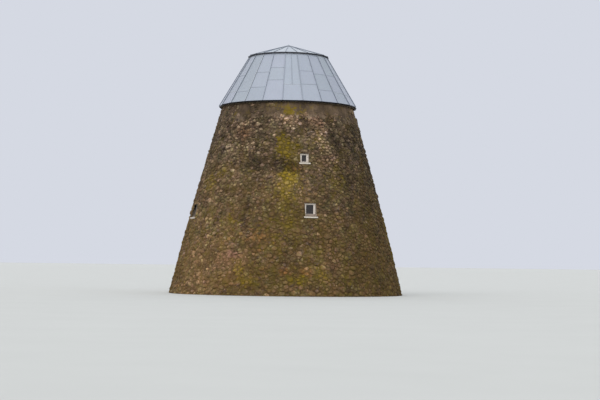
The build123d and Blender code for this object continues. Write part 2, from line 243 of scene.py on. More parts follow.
def join(pieces: Iterable[Piece], name: str) -> Piece:
    """Joins pieces into one.

    Args:
        pieces: The pieces to join.
        name: Name of the joined piece.

    Returns:
        The joined piece.
    """
    pieces = list(pieces)
    only(pieces[0])
    for piece in pieces[1:]:
        piece.select_set(True)
    if len(pieces) > 1:
        bpy.ops.object.join()
    return named(name)


@contextmanager
def editing(piece: Piece) -> Iterator[None]:
    """Opens a piece's mesh with all of it selected, and closes it afterwards.

    Args:
        piece: The piece.

    Yields:
        Nothing.
    """
    only(piece)
    bpy.ops.object.mode_set(mode="EDIT")
    bpy.ops.mesh.select_all(action="SELECT")
    yield
    bpy.ops.object.mode_set(mode="OBJECT")


def copy_of(node: Piece, name: str) -> Piece:
    """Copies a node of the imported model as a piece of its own, with its faces merged.

    Args:
        node: The node to copy.
        name: Name of the copy.

    Returns:
        The copy, as solids of flat faces.
    """
    piece = node.copy()
    piece.data = node.data.copy()
    bpy.context.scene.collection.objects.link(piece)
    for key in [k for k in piece.keys() if k.startswith("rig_")]:
        del piece[key]
    piece.parent = None
    piece.name = piece.data.name = name
    only(piece)
    if piece.data.has_custom_normals:
        bpy.ops.mesh.customdata_custom_splitnormals_clear()
    with editing(piece):
        bpy.ops.mesh.remove_doubles(threshold=0.0002)
        bpy.ops.mesh.dissolve_limited(angle_limit=math.radians(0.5))
    return piece


def turn_to(piece: Piece, azimuth: float) -> None:
    """Turns a piece that was made along +X to face an azimuth."""
    piece.rotation_euler.z = math.radians(azimuth)
    fix(piece)


def cut_back(piece: Piece, point: Vector, normal: Vector) -> None:
    """Cuts off what lies on one side of a plane, the side of its normal, and closes the cut."""
    with editing(piece):
        bpy.ops.mesh.bisect(plane_co=point, plane_no=normal, use_fill=True, clear_outer=True)


def points_of(piece: Piece) -> np.ndarray:
    """Reads the points of a piece's mesh.

    Args:
        piece: The piece.

    Returns:
        One row for each point.
    """
    values = np.empty(len(piece.data.vertices) * 3)
    piece.data.vertices.foreach_get("co", values)
    return values.reshape(-1, 3)


def move_points(piece: Piece, points: np.ndarray) -> None:
    """Sets the points of a piece's mesh."""
    piece.data.vertices.foreach_set("co", points.ravel())
    piece.data.update()


def tag(piece: Piece, name: str, values: Any) -> None:
    """Gives each point of a piece a number that its finish reads by name.

    Args:
        piece: The piece.
        name: Name of the number.
        values: One number, or one for each point.
    """
    attribute = piece.data.attributes.new(name=name, type="FLOAT", domain="POINT")
    values = np.broadcast_to(np.asarray(values, dtype=np.float32), len(piece.data.vertices))
    attribute.data.foreach_set("value", np.ascontiguousarray(values))


# Shader helpers


class Nodes:
    """Places shader nodes in one tree and links them."""

    def __init__(self, tree: bpy.types.NodeTree) -> None:
        """Keeps the tree that the nodes go into."""
        self.tree = tree

    @cached_property
    def position(self) -> Any:
        """Object coordinates."""
        return self.add("TexCoord")["Object"]

    def fill(self, sockets: Any, values: dict[Any, Any]) -> None:
        """Links sockets to others, or sets their values.

        Args:
            sockets: The sockets.
            values: Sockets or values for them, by name or number.
        """
        for key, value in values.items():
            if isinstance(value, bpy.types.NodeSocket):
                self.tree.links.new(value, sockets[key])
            else:
                sockets[key].default_value = value

    def add(self, kind: str, inputs: dict[Any, Any] | None = None, **settings: Any) -> Any:
        """Adds a node.

        Args:
            kind: The node's type, without the prefix that all shader nodes share.
            inputs: Values or sockets for its inputs, by name or number.
            **settings: Properties of the node.

        Returns:
            The node's outputs.
        """
        node = self.tree.nodes.new(f"ShaderNode{kind}")
        for key, value in settings.items():
            setattr(node, key, value)
        self.fill(node.inputs, inputs or {})
        return node.outputs

    def height(self) -> Any:
        """Level of a place."""
        return self.add("SeparateXYZ", {0: self.position})[2]

    def math(self, operation: str, *values: Any, clamp: bool = False) -> Any:
        """Result of a sum on numbers."""
        return self.add("Math", dict(enumerate(values)), operation=operation, use_clamp=clamp)[0]

    def times(self, one: Any, other: Any, clamp: bool = False) -> Any:
        """Product of two numbers."""
        return self.math("MULTIPLY", one, other, clamp=clamp)

    def plus(self, one: Any, other: Any, clamp: bool = False) -> Any:
        """Sum of two numbers."""
        return self.math("ADD", one, other, clamp=clamp)

    def minus(self, one: Any, other: Any) -> Any:
        """One number less another."""
        return self.math("SUBTRACT", one, other)

    def vector(self, operation: str, *values: Any) -> Any:
        """Result of a sum on vectors."""
        return self.add("VectorMath", dict(enumerate(values)), operation=operation)[0]

    def stretch(self, scale: Sequence[float], vector: Any = None) -> Any:
        """Coordinates scaled along each axis."""
        return self.add("Mapping", {"Vector": vector or self.position, "Scale": scale})[0]

    def noise(
        self, scale: Any, detail: float = 4.0, roughness: float = 0.6, warp: float = 0.0, at: Any = None
    ) -> Any:
        """Cloudy pattern, 0 to 1, on the object's coordinates or on others."""
        inputs = {"Scale": scale, "Detail": detail, "Roughness": roughness, "Distortion": warp}
        return self.add("TexNoise", {"Vector": at or self.position, **inputs})["Fac"]

    def cells(self, scale: Any, at: Any = None, feature: str = "F1") -> Any:
        """Outputs of a cell pattern."""
        return self.add("TexVoronoi", {"Vector": at or self.position, "Scale": scale}, feature=feature)

    def span(self, value: Any, low: Any, high: Any, to_low: Any = 0.0, to_high: Any = 1.0) -> Any:
        """Spreads a range of numbers over another range, and clamps it."""
        inputs = {"Value": value, "From Min": low, "From Max": high, "To Min": to_low, "To Max": to_high}
        return self.add("MapRange", inputs, clamp=True)[0]

    def blend(self, amount: Any, low: Any, high: Any, way: str = "MIX") -> Any:
        """Mixes two colours; a colour given as three numbers is 0 to 255."""
        low, high = (srgb(*c) if isinstance(c, tuple) and len(c) == 3 else c for c in (low, high))
        return self.add("Mix", {0: amount, 6: low, 7: high}, data_type="RGBA", blend_type=way)[2]


class Effect(Nodes):
    """A shared node group in the making, which takes a position and one number."""

    def __init__(self, name: str, option: str, value: float) -> None:
        """Makes the group.

        Args:
            name: The group's name.
            option: Name of the number.
            value: The number where none is given.
        """
        super().__init__(bpy.data.node_groups.new(name, "ShaderNodeTree"))
        self.socket("Position", "INPUT", "Vector")
        self.socket(option, "INPUT").default_value = value
        given = self.tree.nodes.new("NodeGroupInput").outputs
        self.position, self.option = given["Position"], given[option]

    def socket(self, name: str, way: str, kind: str = "Float") -> Any:
        """Adds an input or an output to the group."""
        return self.tree.interface.new_socket(name=name, in_out=way, socket_type=f"NodeSocket{kind}")

    def give(self, **values: Any) -> None:
        """Puts out numbers.

        Args:
            **values: The numbers, by name.
        """
        for name in values:
            self.socket(name, "OUTPUT")
        self.fill(self.tree.nodes.new("NodeGroupOutput").inputs, values)


class Surface(Nodes):
    """A material in the making: its shared effects, and a colour that is built up layer by layer."""

    def __init__(self, name: str) -> None:
        """Makes the material.

        Args:
            name: Its name.
        """
        self.material = bpy.data.materials.new(name)
        self.material.use_nodes = True
        super().__init__(self.material.node_tree)
        self.shader = self.tree.nodes["Principled BSDF"].inputs
        self.effects: dict[str, Any] = {}
        self.colour: Any = None

    def __getitem__(self, label: str) -> Any:
        """What an effect puts out, by its label, or else a number that the mesh holds for each point."""
        return self.effects.get(label) or self.add("Attribute", attribute_name=label)["Fac"]

    def effect(self, group: str, number: float, at: Any = None) -> None:
        """Places a shared effect, and keeps what it puts out.

        Args:
            group: The effect's group.
            number: The number that it takes.
            at: Coordinates, where they aren't the object's.
        """
        inputs = {"Position": at or self.position, 1: number}
        outputs = self.add("Group", inputs, node_tree=bpy.data.node_groups[group])
        self.effects.update({socket.name: socket for socket in outputs})

    def ramp(self, value: Any, stops: Sequence[tuple[float, tuple]], step: bool = False) -> Any:
        """Colour that follows a number.

        Args:
            value: The number, 0 to 1.
            stops: Places and colours, 0 to 255.
            step: Whether the colours change in steps.

        Returns:
            The colour socket.
        """
        node = self.tree.nodes.new("ShaderNodeValToRGB")
        self.fill(node.inputs, {"Fac": value})
        elements = node.color_ramp.elements
        node.color_ramp.interpolation = "CONSTANT" if step else "LINEAR"
        while len(elements) < len(stops):
            elements.new(1.0)
        for element, (place, colour) in zip(elements, stops):
            element.position = place
            element.color = srgb(*colour)
        return node.outputs["Color"]

    def mix(self, amount: Any, over: Any, way: str = "MIX") -> None:
        """Mixes a colour into the one so far."""
        self.colour = self.blend(amount, self.colour, over, way)

    def lay(self, amount: Any, share: float, over: Any) -> None:
        """Lays a colour over the one so far, by a share of an amount or of a labelled effect."""
        self.mix(self.times(self[amount] if isinstance(amount, str) else amount, share), over)

    def shade(self, factor: Any) -> None:
        """Multiplies the brightness of the colour so far."""
        inputs = {"Hue": 0.5, "Saturation": 1.0, "Value": factor, "Fac": 1.0, "Color": self.colour}
        self.colour = self.add("HueSaturation", inputs)[0]

    def speckle(self, darkest: float, lightest: float) -> None:
        """Multiplies the brightness by the speckle of the grit."""
        self.shade(self.span(self["Speckle"], 0.0, 1.0, darkest, lightest))

    def relief(self, height: Any, distance: float, strength: float = 0.8) -> None:
        """Makes the surface follow a height, in metres."""
        inputs = {"Height": height, "Distance": distance, "Strength": strength}
        self.fill(self.shader, {"Normal": self.add("Bump", inputs)[0]})


# Node groups that more than one finish uses


def weathering() -> None:
    """Rain streaks, blotches of old dirt, painted shade on the side turned from the light, and how light, how
    yellow or red and how grey the wall is.
    """
    nodes = Effect("weathering", "Scale", 1.0)
    scaled = nodes.add("VectorMath", {0: nodes.position, "Scale": nodes.option}, operation="SCALE")[0]
    runs = nodes.stretch((1.0, 1.0, 0.09), scaled)
    streak = nodes.noise(5.0, detail=6.0, roughness=0.65, warp=0.3, at=runs)
    blotch = nodes.noise(0.9, detail=7.0, roughness=0.62, at=scaled)
    # Painted shade: the side turned away from the light, the right flank seen from the front, is darkened
    height = nodes.height()
    outward = nodes.vector("NORMALIZE", nodes.vector("MULTIPLY", nodes.position, (1.0, 1.0, 0.0)))
    turned = nodes.add("VectorMath", {0: outward, 1: radial(SHADED_SIDE)}, operation="DOT_PRODUCT")["Value"]
    shaded = nodes.times(nodes.span(turned, 0.40, 1.0, 0.0, 0.50), nodes.span(height, 10.6, 9.6))
    drift = nodes.span(nodes.noise(0.5, detail=3.0), 0.3, 0.7, 0.92, 1.08)
    flecks = nodes.noise(5.5, roughness=0.78, at=nodes.stretch((1.0, 1.0, 1.5)))
    clouds = nodes.noise(1.5, detail=5.0, roughness=0.65)
    flecked = nodes.span(flecks, 0.36, 0.64, 0.56, 1.44)
    mottle = nodes.times(flecked, nodes.span(clouds, 0.38, 0.62, 0.70, 1.28))
    # High up, rain has left the wall more uneven
    uneven = nodes.span(height, 4.5, 8.5, 1.25, 1.7)
    nodes.give(
        Streaks=nodes.span(streak, 0.48, 0.72),
        Blotches=nodes.span(blotch, 0.42, 0.66),
        # Random drift of brightness, less the painted shade of the flank turned from the light
        Exposure=nodes.minus(drift, shaded),
        Mottle=nodes.math("POWER", mottle, uneven),
        Hue=nodes.noise(2.4, detail=5.0, roughness=0.7, warp=0.4),
        Greyed=nodes.span(height, 3.0, 8.5, 0.03, 0.36),
    )


def growth(profile: WallProfile) -> None:
    """Moss in patches chosen on the tower, an olive film of algae, lichen spots, dust of odd stones, and
    paler and darker patches, partly painted light and shade.

    Args:
        profile: Outline of the tower, which places the patches.
    """
    nodes = Effect("growth", "Spread", 0.0)
    # The patches' rims wander, in wide bends and in small ones
    wandering = nodes.position
    for scale, most in ((1.0, 0.9), (4.5, 1.3)):
        inputs = {"Vector": nodes.position, "Scale": scale, "Detail": 6.0}
        shift = nodes.vector("SUBTRACT", nodes.add("TexNoise", inputs)["Color"], (0.5, 0.5, 0.5))
        wandering = nodes.vector("MULTIPLY_ADD", shift, (most, most, most), wandering)
    totals = {}
    for kind, patches in WALL_PATCHES.items():
        totals[kind] = 0.0
        for sizes in patches:
            strength = WallPatch(*sizes).strength_in(nodes, wandering, profile)
            totals[kind] = nodes.plus(totals[kind], strength)
    moss = totals[Growth.MOSS]
    height = nodes.height()
    fine = nodes.noise(7.0, detail=5.0, roughness=0.7)
    mixed = nodes.plus(nodes.noise(1.9, detail=9.0, roughness=0.68, warp=0.5), fine)
    grown = nodes.plus(nodes.times(moss, 0.26), nodes.option)
    grown = nodes.plus(grown, nodes.span(height, 6.5, 1.5, 0.0, 0.06))
    fresh = nodes.plus(nodes.times(moss, 0.30), nodes.noise(3.1, detail=5.0))
    wide = nodes.noise(1.15, detail=8.0, roughness=0.66, warp=0.3, at=nodes.stretch((1.0, 1.0, 0.8)))
    film = nodes.plus(wide, nodes.span(height, 9.5, 0.0, -0.09, 0.13))
    film = nodes.plus(film, nodes.times(moss, 0.08))
    spots = nodes.plus(nodes.cells(5.0)["Distance"], nodes.times(fine, 0.6))
    crowd = nodes.span(nodes.noise(1.7), 0.42, 0.66, 0.36, 0.66)
    # Paler and darker patches, partly painted light and shade, scale the brightness
    paler = nodes.minus(totals[Growth.PALE], totals[Growth.DARK])
    shade = nodes.math("MULTIPLY_ADD", paler, 0.5, 1.0)
    broken = nodes.span(fine, 0.3, 0.6)
    dusty = {}
    for kind in (Growth.ROSY, Growth.RUSTY):
        dusty[kind.name.title()] = dust = nodes.times(totals[kind], broken)
        shade = nodes.math("MULTIPLY_ADD", dust, 0.35, shade)
    nodes.give(
        Moss=nodes.span(nodes.plus(nodes.minus(mixed, 0.52), grown), 0.54, 0.78),
        Yellow=nodes.span(fresh, 0.46, 0.72),
        Film=nodes.span(film, 0.42, 0.66),
        Lichen=nodes.span(nodes.minus(spots, crowd), 0.04, -0.06),
        Shade=shade,
        **dusty,
    )


def grit() -> None:
    """Speckle and unevenness of stone, mortar and plaster."""
    nodes = Effect("grit", "Scale", 20.0)
    coarse = nodes.noise(nodes.option, detail=6.0, roughness=0.7)
    fine = nodes.noise(nodes.times(nodes.option, 6.0), detail=3.0, roughness=0.7)
    speckle = nodes.span(nodes.plus(coarse, fine), 0.75, 1.25)
    nodes.give(Speckle=speckle, Height=nodes.plus(coarse, nodes.times(fine, 0.25)))


def grain() -> None:
    """Wood grain along the stretched direction of the coordinates."""
    nodes = Effect("grain", "Scale", 1.0)
    rings = nodes.noise(nodes.option, detail=6.0, roughness=0.65, warp=1.2)
    fibres = nodes.noise(nodes.times(nodes.option, 5.0), detail=3.0)
    tone = nodes.plus(nodes.times(rings, 0.65), nodes.times(fibres, 0.35))
    nodes.give(Tone=nodes.span(tone, 0.35, 0.65), Height=tone)


def wear() -> None:
    """Worn corners and edges, from how sharply the surface bends."""
    nodes = Effect("wear", "Scale", 12.0)
    patchy = nodes.span(nodes.noise(nodes.option, detail=5.0, roughness=0.7), 0.40, 0.60)
    edge = nodes.span(nodes.add("NewGeometry")["Pointiness"], 0.51, 0.58)
    nodes.give(Edges=nodes.times(edge, patchy))


class Growth(Enum):
    """What changes the wall's colour in a patch; the paler and darker patches are partly painted light and
    shade.
    """

    MOSS = "moss"
    PALE = "paler, partly painted light"
    DARK = "darker, partly painted shade"
    ROSY = "reddish stone and its dust"
    RUSTY = "orange stone and its dust"


@dataclass(frozen=True)
class WallPatch:
    """A place on the tower where the wall's colour, or its painted light or shade, changes, as an upright
    oval.
    """

    azimuth: float
    level: float
    half_width: float
    half_height: float
    strength: float

    def strength_in(self, nodes: Nodes, position: Any, profile: WallProfile) -> Any:
        """Adds the nodes of the patch.

        Args:
            nodes: Helper of the tree that they go into.
            position: Object coordinates.
            profile: Outline of the tower.

        Returns:
            The patch's strength, fading from its middle to its rim.
        """
        centre = radial(self.azimuth) * float(profile.radius(self.level))
        centre.z = self.level
        inputs = {
            "Vector": position,
            "Location": centre,
            "Rotation": (0.0, 0.0, math.radians(self.azimuth)),
            "Scale": (max(self.half_width, 1.2), self.half_width, self.half_height),
        }
        local = nodes.add("Mapping", inputs, vector_type="TEXTURE")[0]
        fade = nodes.add("TexGradient", {"Vector": local}, gradient_type="SPHERICAL")["Fac"]
        return nodes.times(nodes.span(fade, 0.0, 0.6), self.strength)


# Azimuth, level, half width, half height and strength of each patch
WALL_PATCHES = {
    Growth.MOSS: (
        (-104, 10.2, 0.42, 0.5, 0.95), (-101, 10.25, 1.2, 0.45, 0.45), (-102.5, 7.7, 0.9, 1.7, 0.5),
        (-100, 6.7, 0.9, 0.7, 0.7), (-105.5, 5.9, 0.9, 1.1, 0.8), (-102, 4.9, 1, 1.4, 0.45),
        (-110, 3.4, 1.8, 1.4, 0.4), (-149.6, 6.8, 0.5, 0.5, 0.8), (-162, 6.2, 1, 0.8, 0.7),
        (-82, 8.7, 0.8, 1.2, 0.5), (-72, 6.4, 0.9, 1.3, 0.5), (-20, 3.2, 1.2, 2.2, 0.7),
        (40, 6, 0.9, 2.4, 0.7), (105, 8.2, 0.8, 1.8, 0.8), (160, 2.2, 1.4, 1.6, 0.7),
        (-105.9, 8.05, 0.52, 0.62, 3), (-103.5, 8.3, 0.9, 0.8, 0.35), (-128.7, 1.9, 0.5, 0.35, 0.9),
        (-121, 0.8, 0.9, 0.5, 0.6), (-99, 0.9, 0.7, 0.4, 0.7), (-97.5, 6.2, 1.1, 0.7, 0.25),
        (-86, 1.1, 0.9, 0.5, 0.6), (-137.1, 4.1, 0.3, 0.22, 0.9), (-131.4, 3.8, 0.35, 0.25, 0.9),
        (-127.6, 1.4, 0.38, 0.25, 1.8),
    ),
    # Paler patches: pale mortar and stones, and painted light on the tower's left flank
    Growth.PALE: (
        (-98, 6, 1.6, 0.95, 1), (-112, 5.4, 1.2, 1.4, 0.4), (-150, 2, 3.4, 3.4, 0.75),
        (-77, 8.9, 0.6, 1.2, 0.6), (-118, 2.4, 1.6, 1.2, 0.15), (-102.3, 6.45, 0.35, 0.28, 0.8),
        (-127.6, 1.4, 0.32, 0.22, 0.6), (-120.7, 3.2, 0.4, 0.24, 0.6), (-153, 5.6, 2.6, 2.2, 0.4),
        (-148, 0.6, 3.4, 1.6, 0.1), (60, 3, 2.5, 2.5, 0.4), (-102.5, 9.7, 1.7, 0.3, 1),
    ),
    # Darker patches, among them painted shade on the tower's flanks
    Growth.DARK: (
        (-150, 9.9, 3.4, 1.6, 0.45), (-168, 7.6, 1.8, 3, 0.3), (-124.5, 7.3, 0.9, 0.8, 0.9),
        (-104, 7, 1.2, 0.4, 1), (-87, 6.4, 0.8, 0.9, 0.3), (-94.5, 9.2, 0.6, 0.9, 0.4),
        (-62, 8.6, 1.2, 1.6, 0.5), (-122, 9.4, 1, 0.6, 0.4), (-142, 10.5, 1.6, 0.7, 0.2),
        (20, 7, 1.6, 2.6, 0.5),
    ),
    Growth.ROSY: (
        (-76, 7.6, 0.9, 1, 0.4), (-79, 9.4, 0.9, 0.9, 0.55), (-88, 9.75, 2, 0.5, 0.5),
        (-140, 9, 1.5, 1, 0.6), (-131, 2, 1.4, 0.9, 0.8), (-150, 1.4, 2.6, 2, 0.5),
        (-118, 3.2, 1, 0.6, 0.6), (-80, 1.6, 0.8, 0.6, 0.7), (142, 5.9, 1, 1.2, 0.8),
        (-5, 7, 1.2, 1.6, 0.5), (-131.4, 2.2, 0.55, 0.22, 0.9),
    ),
    Growth.RUSTY: (
        (-120.7, 3.2, 0.5, 0.28, 1), (-115.8, 3.2, 0.4, 0.26, 0.8), (-104.7, 1.3, 0.5, 0.3, 1),
        (-94.1, 1.3, 0.5, 0.32, 1), (-137, 9, 0.5, 0.4, 0.6), (-97, 6.95, 0.6, 0.16, 0.8),
        (-128, 0.9, 1.2, 0.5, 0.4), (-60, 2, 0.8, 0.4, 0.6), (70, 3.4, 0.8, 0.6, 0.6),
    ),
}


# Finishes

DUSTS = {"Rosy": (126, 93, 75), "Rusty": (136, 92, 48)}
WASHED_GREY = (108, 98, 90)
WALL_HUES = (
    (0.34, (100, 92, 84)), (0.40, (112, 104, 36)), (0.45, (112, 94, 60)), (0.50, (124, 98, 72)),
    (0.55, (134, 92, 46)), (0.60, (122, 92, 82)), (0.66, (104, 90, 88)),
)


@dataclass(frozen=True)
class Finish:
    """A surface finish, with the shared effects on it and the number that each of them takes."""

    name: str
    roughness: float = 0.9
    sheen: float = 0.5
    effects: tuple = ()

    def build(self) -> bpy.types.Material:
        """Builds the material.

        Returns:
            The material, with its own surface shader filled in.
        """
        surface = Surface(self.name)
        surface.fill(surface.shader, {"Roughness": self.roughness, "Specular IOR Level": self.sheen})
        for group, number in self.effects:
            surface.effect(group, number)
        self.look(surface)
        surface.fill(surface.shader, {"Base Color": surface.colour})
        return surface.material

    def look(self, surface: Surface) -> None:
        """Gives the surface its colour and relief."""
        raise NotImplementedError


@dataclass(frozen=True)
class WallFinish(Finish):
    """A finish of the wall, which greys, stains and grows over with the rest of it."""

    sheen: float = 0.15
    dusty: float = 0.6

    @staticmethod
    def grey(surface: Surface, stained: float = 0.0) -> None:
        """Gives the colour the wall's drifting hues, and the grey of its washed upper part.

        Args:
            surface: The surface.
            stained: Share of the drifting hues.
        """
        if stained:
            surface.mix(stained, surface.ramp(surface["Hue"], WALL_HUES), "COLOR")
        surface.mix(surface["Greyed"], WASHED_GREY, "COLOR")

    def cover(self, surface: Surface) -> None:
        """Lays the dust of odd stones over the colour, and the brightness of the wall's paler and darker
        patches, partly painted light and shade.

        Args:
            surface: The surface.
        """
        for label, dust in DUSTS.items() if self.dusty else ():
            surface.mix(surface.times(surface[label], self.dusty, clamp=True), dust, "COLOR")
        surface.shade(surface["Shade"])


@dataclass(frozen=True)
class StoneFinish(WallFinish):
    """Weathered fieldstone: each stone has its own kind and tone, under moss, lichen and rain streaks."""

    dusty: float = 0.75
    effects: tuple = (("grit", 7.0), ("weathering", 1.0), ("growth", 0.0))
    kinds: tuple = (
        (0.00, (140, 92, 54)), (0.012, (112, 88, 64)), (0.09, (120, 100, 70)), (0.24, (108, 90, 65)),
        (0.40, (95, 79, 60)), (0.51, (116, 97, 74)), (0.63, (104, 88, 72)), (0.73, (108, 88, 76)),
        (0.79, (132, 110, 90)), (0.86, (94, 82, 69)), (0.91, (96, 88, 69)), (0.94, (90, 82, 78)),
        (0.965, (118, 94, 82)), (0.98, (150, 134, 114)),
    )

    def look(self, surface: Surface) -> None:
        """Gives the stones their colour and relief.

        Args:
            surface: The surface.
        """
        tone = surface["stone_tone"]
        # What grows on a stone takes to some stones better than to others
        grip = surface.span(surface.math("FRACT", surface.times(tone, 61.0)), 0.0, 1.0, 0.55, 1.0)
        surface.colour = surface.ramp(surface["stone_kind"], self.kinds, step=True)
        surface.shade(surface.span(tone, 0.0, 1.0, 0.62, 1.56))
        self.grey(surface, 0.62)
        smear = surface.noise(5.0, detail=6.0, roughness=0.75, at=surface.stretch((1.0, 1.0, 1.5)))
        surface.mix(surface.span(smear, 0.52, 0.62, 0.0, 0.7), (104, 86, 62))
        surface.speckle(0.70, 1.30)
        # Random drift of brightness with painted shade on one flank, and mottle
        surface.shade(surface.times(surface["Exposure"], surface["Mottle"]))
        # Darker at each stone's foot where it meets the mortar: painted shade of the crevice, and dirt
        surface.lay("stone_foot_shade_and_dirt", 0.25, (62, 51, 36))
        surface.lay("Streaks", 0.25, (52, 44, 32))
        surface.lay(surface.times(surface["Film"], grip), 0.55, (110, 84, 40))
        surface.lay("Lichen", 0.55, surface.blend(grip, (152, 138, 110), (128, 112, 42)))
        held = surface.times(surface["Moss"], surface.span(grip, 0.55, 1.0, 0.62, 0.94))
        surface.mix(held, surface.blend(surface["Yellow"], (88, 77, 30), (124, 104, 24)))
        self.cover(surface)
        surface.relief(surface["Height"], 0.025)


@dataclass(frozen=True)
class MortarFinish(WallFinish):
    """Lime mortar between the stones: gritty, stained, darker in blotches and with painted shade on one
    flank, pale where it is newer.
    """

    effects: tuple = (("grit", 9.0), ("weathering", 1.0), ("growth", 0.03))
    light: tuple = (116, 96, 66)
    dark: tuple = (70, 57, 39)
    film: tuple = (98, 76, 36)
    moss: tuple = (96, 82, 28)
    stained: float = 0.5

    def look(self, surface: Surface) -> None:
        """Gives the mortar its colour and relief.

        Args:
            surface: The surface.
        """
        surface.colour = surface.blend(surface["Speckle"], self.dark, self.light)
        self.grey(surface, self.stained)
        newer = surface.noise(1.1, detail=7.0, roughness=0.7, warp=0.6, at=surface.stretch((1.0, 1.0, 1.6)))
        surface.mix(surface.span(newer, 0.58, 0.68, 0.0, 0.7), (144, 122, 94))
        # Random drift of brightness with painted shade on one flank, and mottle
        surface.shade(surface.times(surface["Exposure"], surface["Mottle"]))
        surface.lay("Blotches", 0.30, (60, 50, 34))
        surface.lay("Streaks", 0.30, (46, 40, 28))
        surface.lay("Film", 0.4, self.film)
        surface.lay("Moss", 0.75, self.moss)
        self.cover(surface)
        surface.relief(surface["Height"], 0.03)


@dataclass(frozen=True)
class RenderCoatFinish(WallFinish):
    """Cement render of the band under the eaves: smooth, brown with age, mossy in places, darkened at its top
    with painted shadow of the eaves.
    """

    dusty: float = 0.0
    effects: tuple = (("grit", 5.0), ("weathering", 1.6), ("growth", -0.03))
    # Levels from which the painted shadow under the eaves fades out downwards
    eave_shadow_levels: tuple = (10.72, 10.54)

    def look(self, surface: Surface) -> None:
        """Gives the render its colour and relief.

        Args:
            surface: The surface.
        """
        stains = surface.noise(2.4, detail=7.0, roughness=0.7, at=surface.stretch((1.0, 1.0, 0.5)))
        rims = surface.cells(1.1, feature="DISTANCE_TO_EDGE")["Distance"]
        cracked = surface.span(surface["Blotches"], 0.3, 0.7)
        crack = surface.times(surface.span(rims, 0.012, 0.0), cracked)
        surface.colour = surface.blend(surface.span(stains, 0.36, 0.64), (76, 60, 42), (118, 93, 66))
        worn = surface.span(stains, 0.44, 0.56, 0.0, 1.6)
        surface.lay(surface.times(surface["coat_foot"], worn, clamp=True), 0.8, (150, 126, 100))
        surface.speckle(0.72, 1.26)
        # Painted shadow of the eaves: the band darkens towards its top
        surface.shade(surface.span(surface.height(), *self.eave_shadow_levels, 0.5, 1.0))
        self.grey(surface)
        # Random drift of brightness with painted shade on one flank
        surface.shade(surface["Exposure"])
        surface.lay("Streaks", 0.4, (60, 50, 38))
        surface.lay("Film", 0.3, (100, 80, 34))
        surface.lay("Moss", 0.8, (124, 104, 22))
        surface.lay(crack, 0.7, (40, 36, 30))
        self.cover(surface)
        surface.relief(surface.minus(surface["Height"], surface.times(crack, 0.6)), 0.014)


@dataclass(frozen=True)
class SheetFinish(Finish):
    """Galvanised sheet: pale blue-grey, each sheet a little different, the cap's paler with painted light,
    dull where dirt has run, dark along its edges with dirt and painted shade.
    """

    effects: tuple = (("weathering", 1.3),)
    # The palest end of the tints, which the cap's sheets take, is painted light
    tints: tuple = (
        (0.0, (163, 170, 181)), (0.25, (167, 172, 185)), (0.45, (164, 172, 181)),
        (0.65, (169, 174, 187)), (0.85, (165, 173, 183)), (1.0, (206, 210, 214)),
    )

    def look(self, surface: Surface) -> None:
        """Gives the sheets their colour and slight waves.

        Args:
            surface: The surface.
        """
        surface.colour = surface.ramp(surface["sheet_tint"], self.tints)
        surface.mix(0.04, surface.cells(55.0)["Color"], "OVERLAY")
        surface.lay("Streaks", 0.14, (134, 138, 148))
        surface.lay("Blotches", 0.10, (198, 204, 214))
        # Dark edge colour: dirt, and painted shade on the seams' stems, the locks and the sheets' rims
        surface.lay("sheet_edge_dirt_and_shade", 0.8, (66, 73, 86))
        dull = surface.span(surface["Blotches"], 0.0, 1.0, 0.58, 0.70)
        surface.fill(surface.shader, {"Metallic": 0.2, "Roughness": dull})
        surface.relief(surface.noise(2.2, detail=2.0, at=surface.stretch((1.0, 1.0, 0.5))), 0.02, 0.5)


@dataclass(frozen=True)
class PaintFinish(Finish):
    """Old white paint or limewash: chalky, greyed by rain, chipped at the corners."""

    roughness: float = 0.8
    effects: tuple = (("grit", 26.0), ("weathering", 4.0), ("wear", 22.0))
    colour: tuple = (240, 230, 220)
    grime: tuple = (150, 132, 118)
    darker_foot_height: float = 0.0

    def look(self, surface: Surface) -> None:
        """Gives the paint its colour and relief.

        Args:
            surface: The surface.
        """
        surface.colour = srgb(*self.colour)
        surface.speckle(0.90, 1.05)
        surface.lay("Streaks", 0.25, self.grime)
        # The frame's foot rail is darker, up to this height
        if self.darker_foot_height:
            rise = surface["rise"]
            surface.mix(surface.span(rise, self.darker_foot_height, self.darker_foot_height - 0.02, 0.0, 0.85), self.grime)
        surface.lay("Edges", 0.7, (122, 106, 86))
        surface.relief(surface["Height"], 0.004, 0.6)


@dataclass(frozen=True)
class TimberFinish(Finish):
    """Sawn timber: grain along the piece, silvered or brown, with darker knots."""

    effects: tuple = (("weathering", 2.0), ("wear", 14.0))
    light: tuple = (136, 112, 82)
    dark: tuple = (88, 70, 50)
    along: tuple = (12.0, 12.0, 1.2)

    def look(self, surface: Surface) -> None:
        """Gives the timber its colour and grain.

        Args:
            surface: The surface.
        """
        surface.effect("grain", 1.0, surface.stretch(self.along))
        knots = surface.cells(1.0, surface.stretch([a * 0.28 for a in self.along]))["Distance"]
        surface.colour = surface.blend(surface["Tone"], self.dark, self.light)
        surface.mix(surface.span(knots, 0.10, 0.03), (58, 44, 32))
        surface.lay("Streaks", 0.3, (70, 62, 52))
        surface.lay("Edges", 0.5, (168, 150, 122))
        surface.relief(surface["Height"], 0.004)


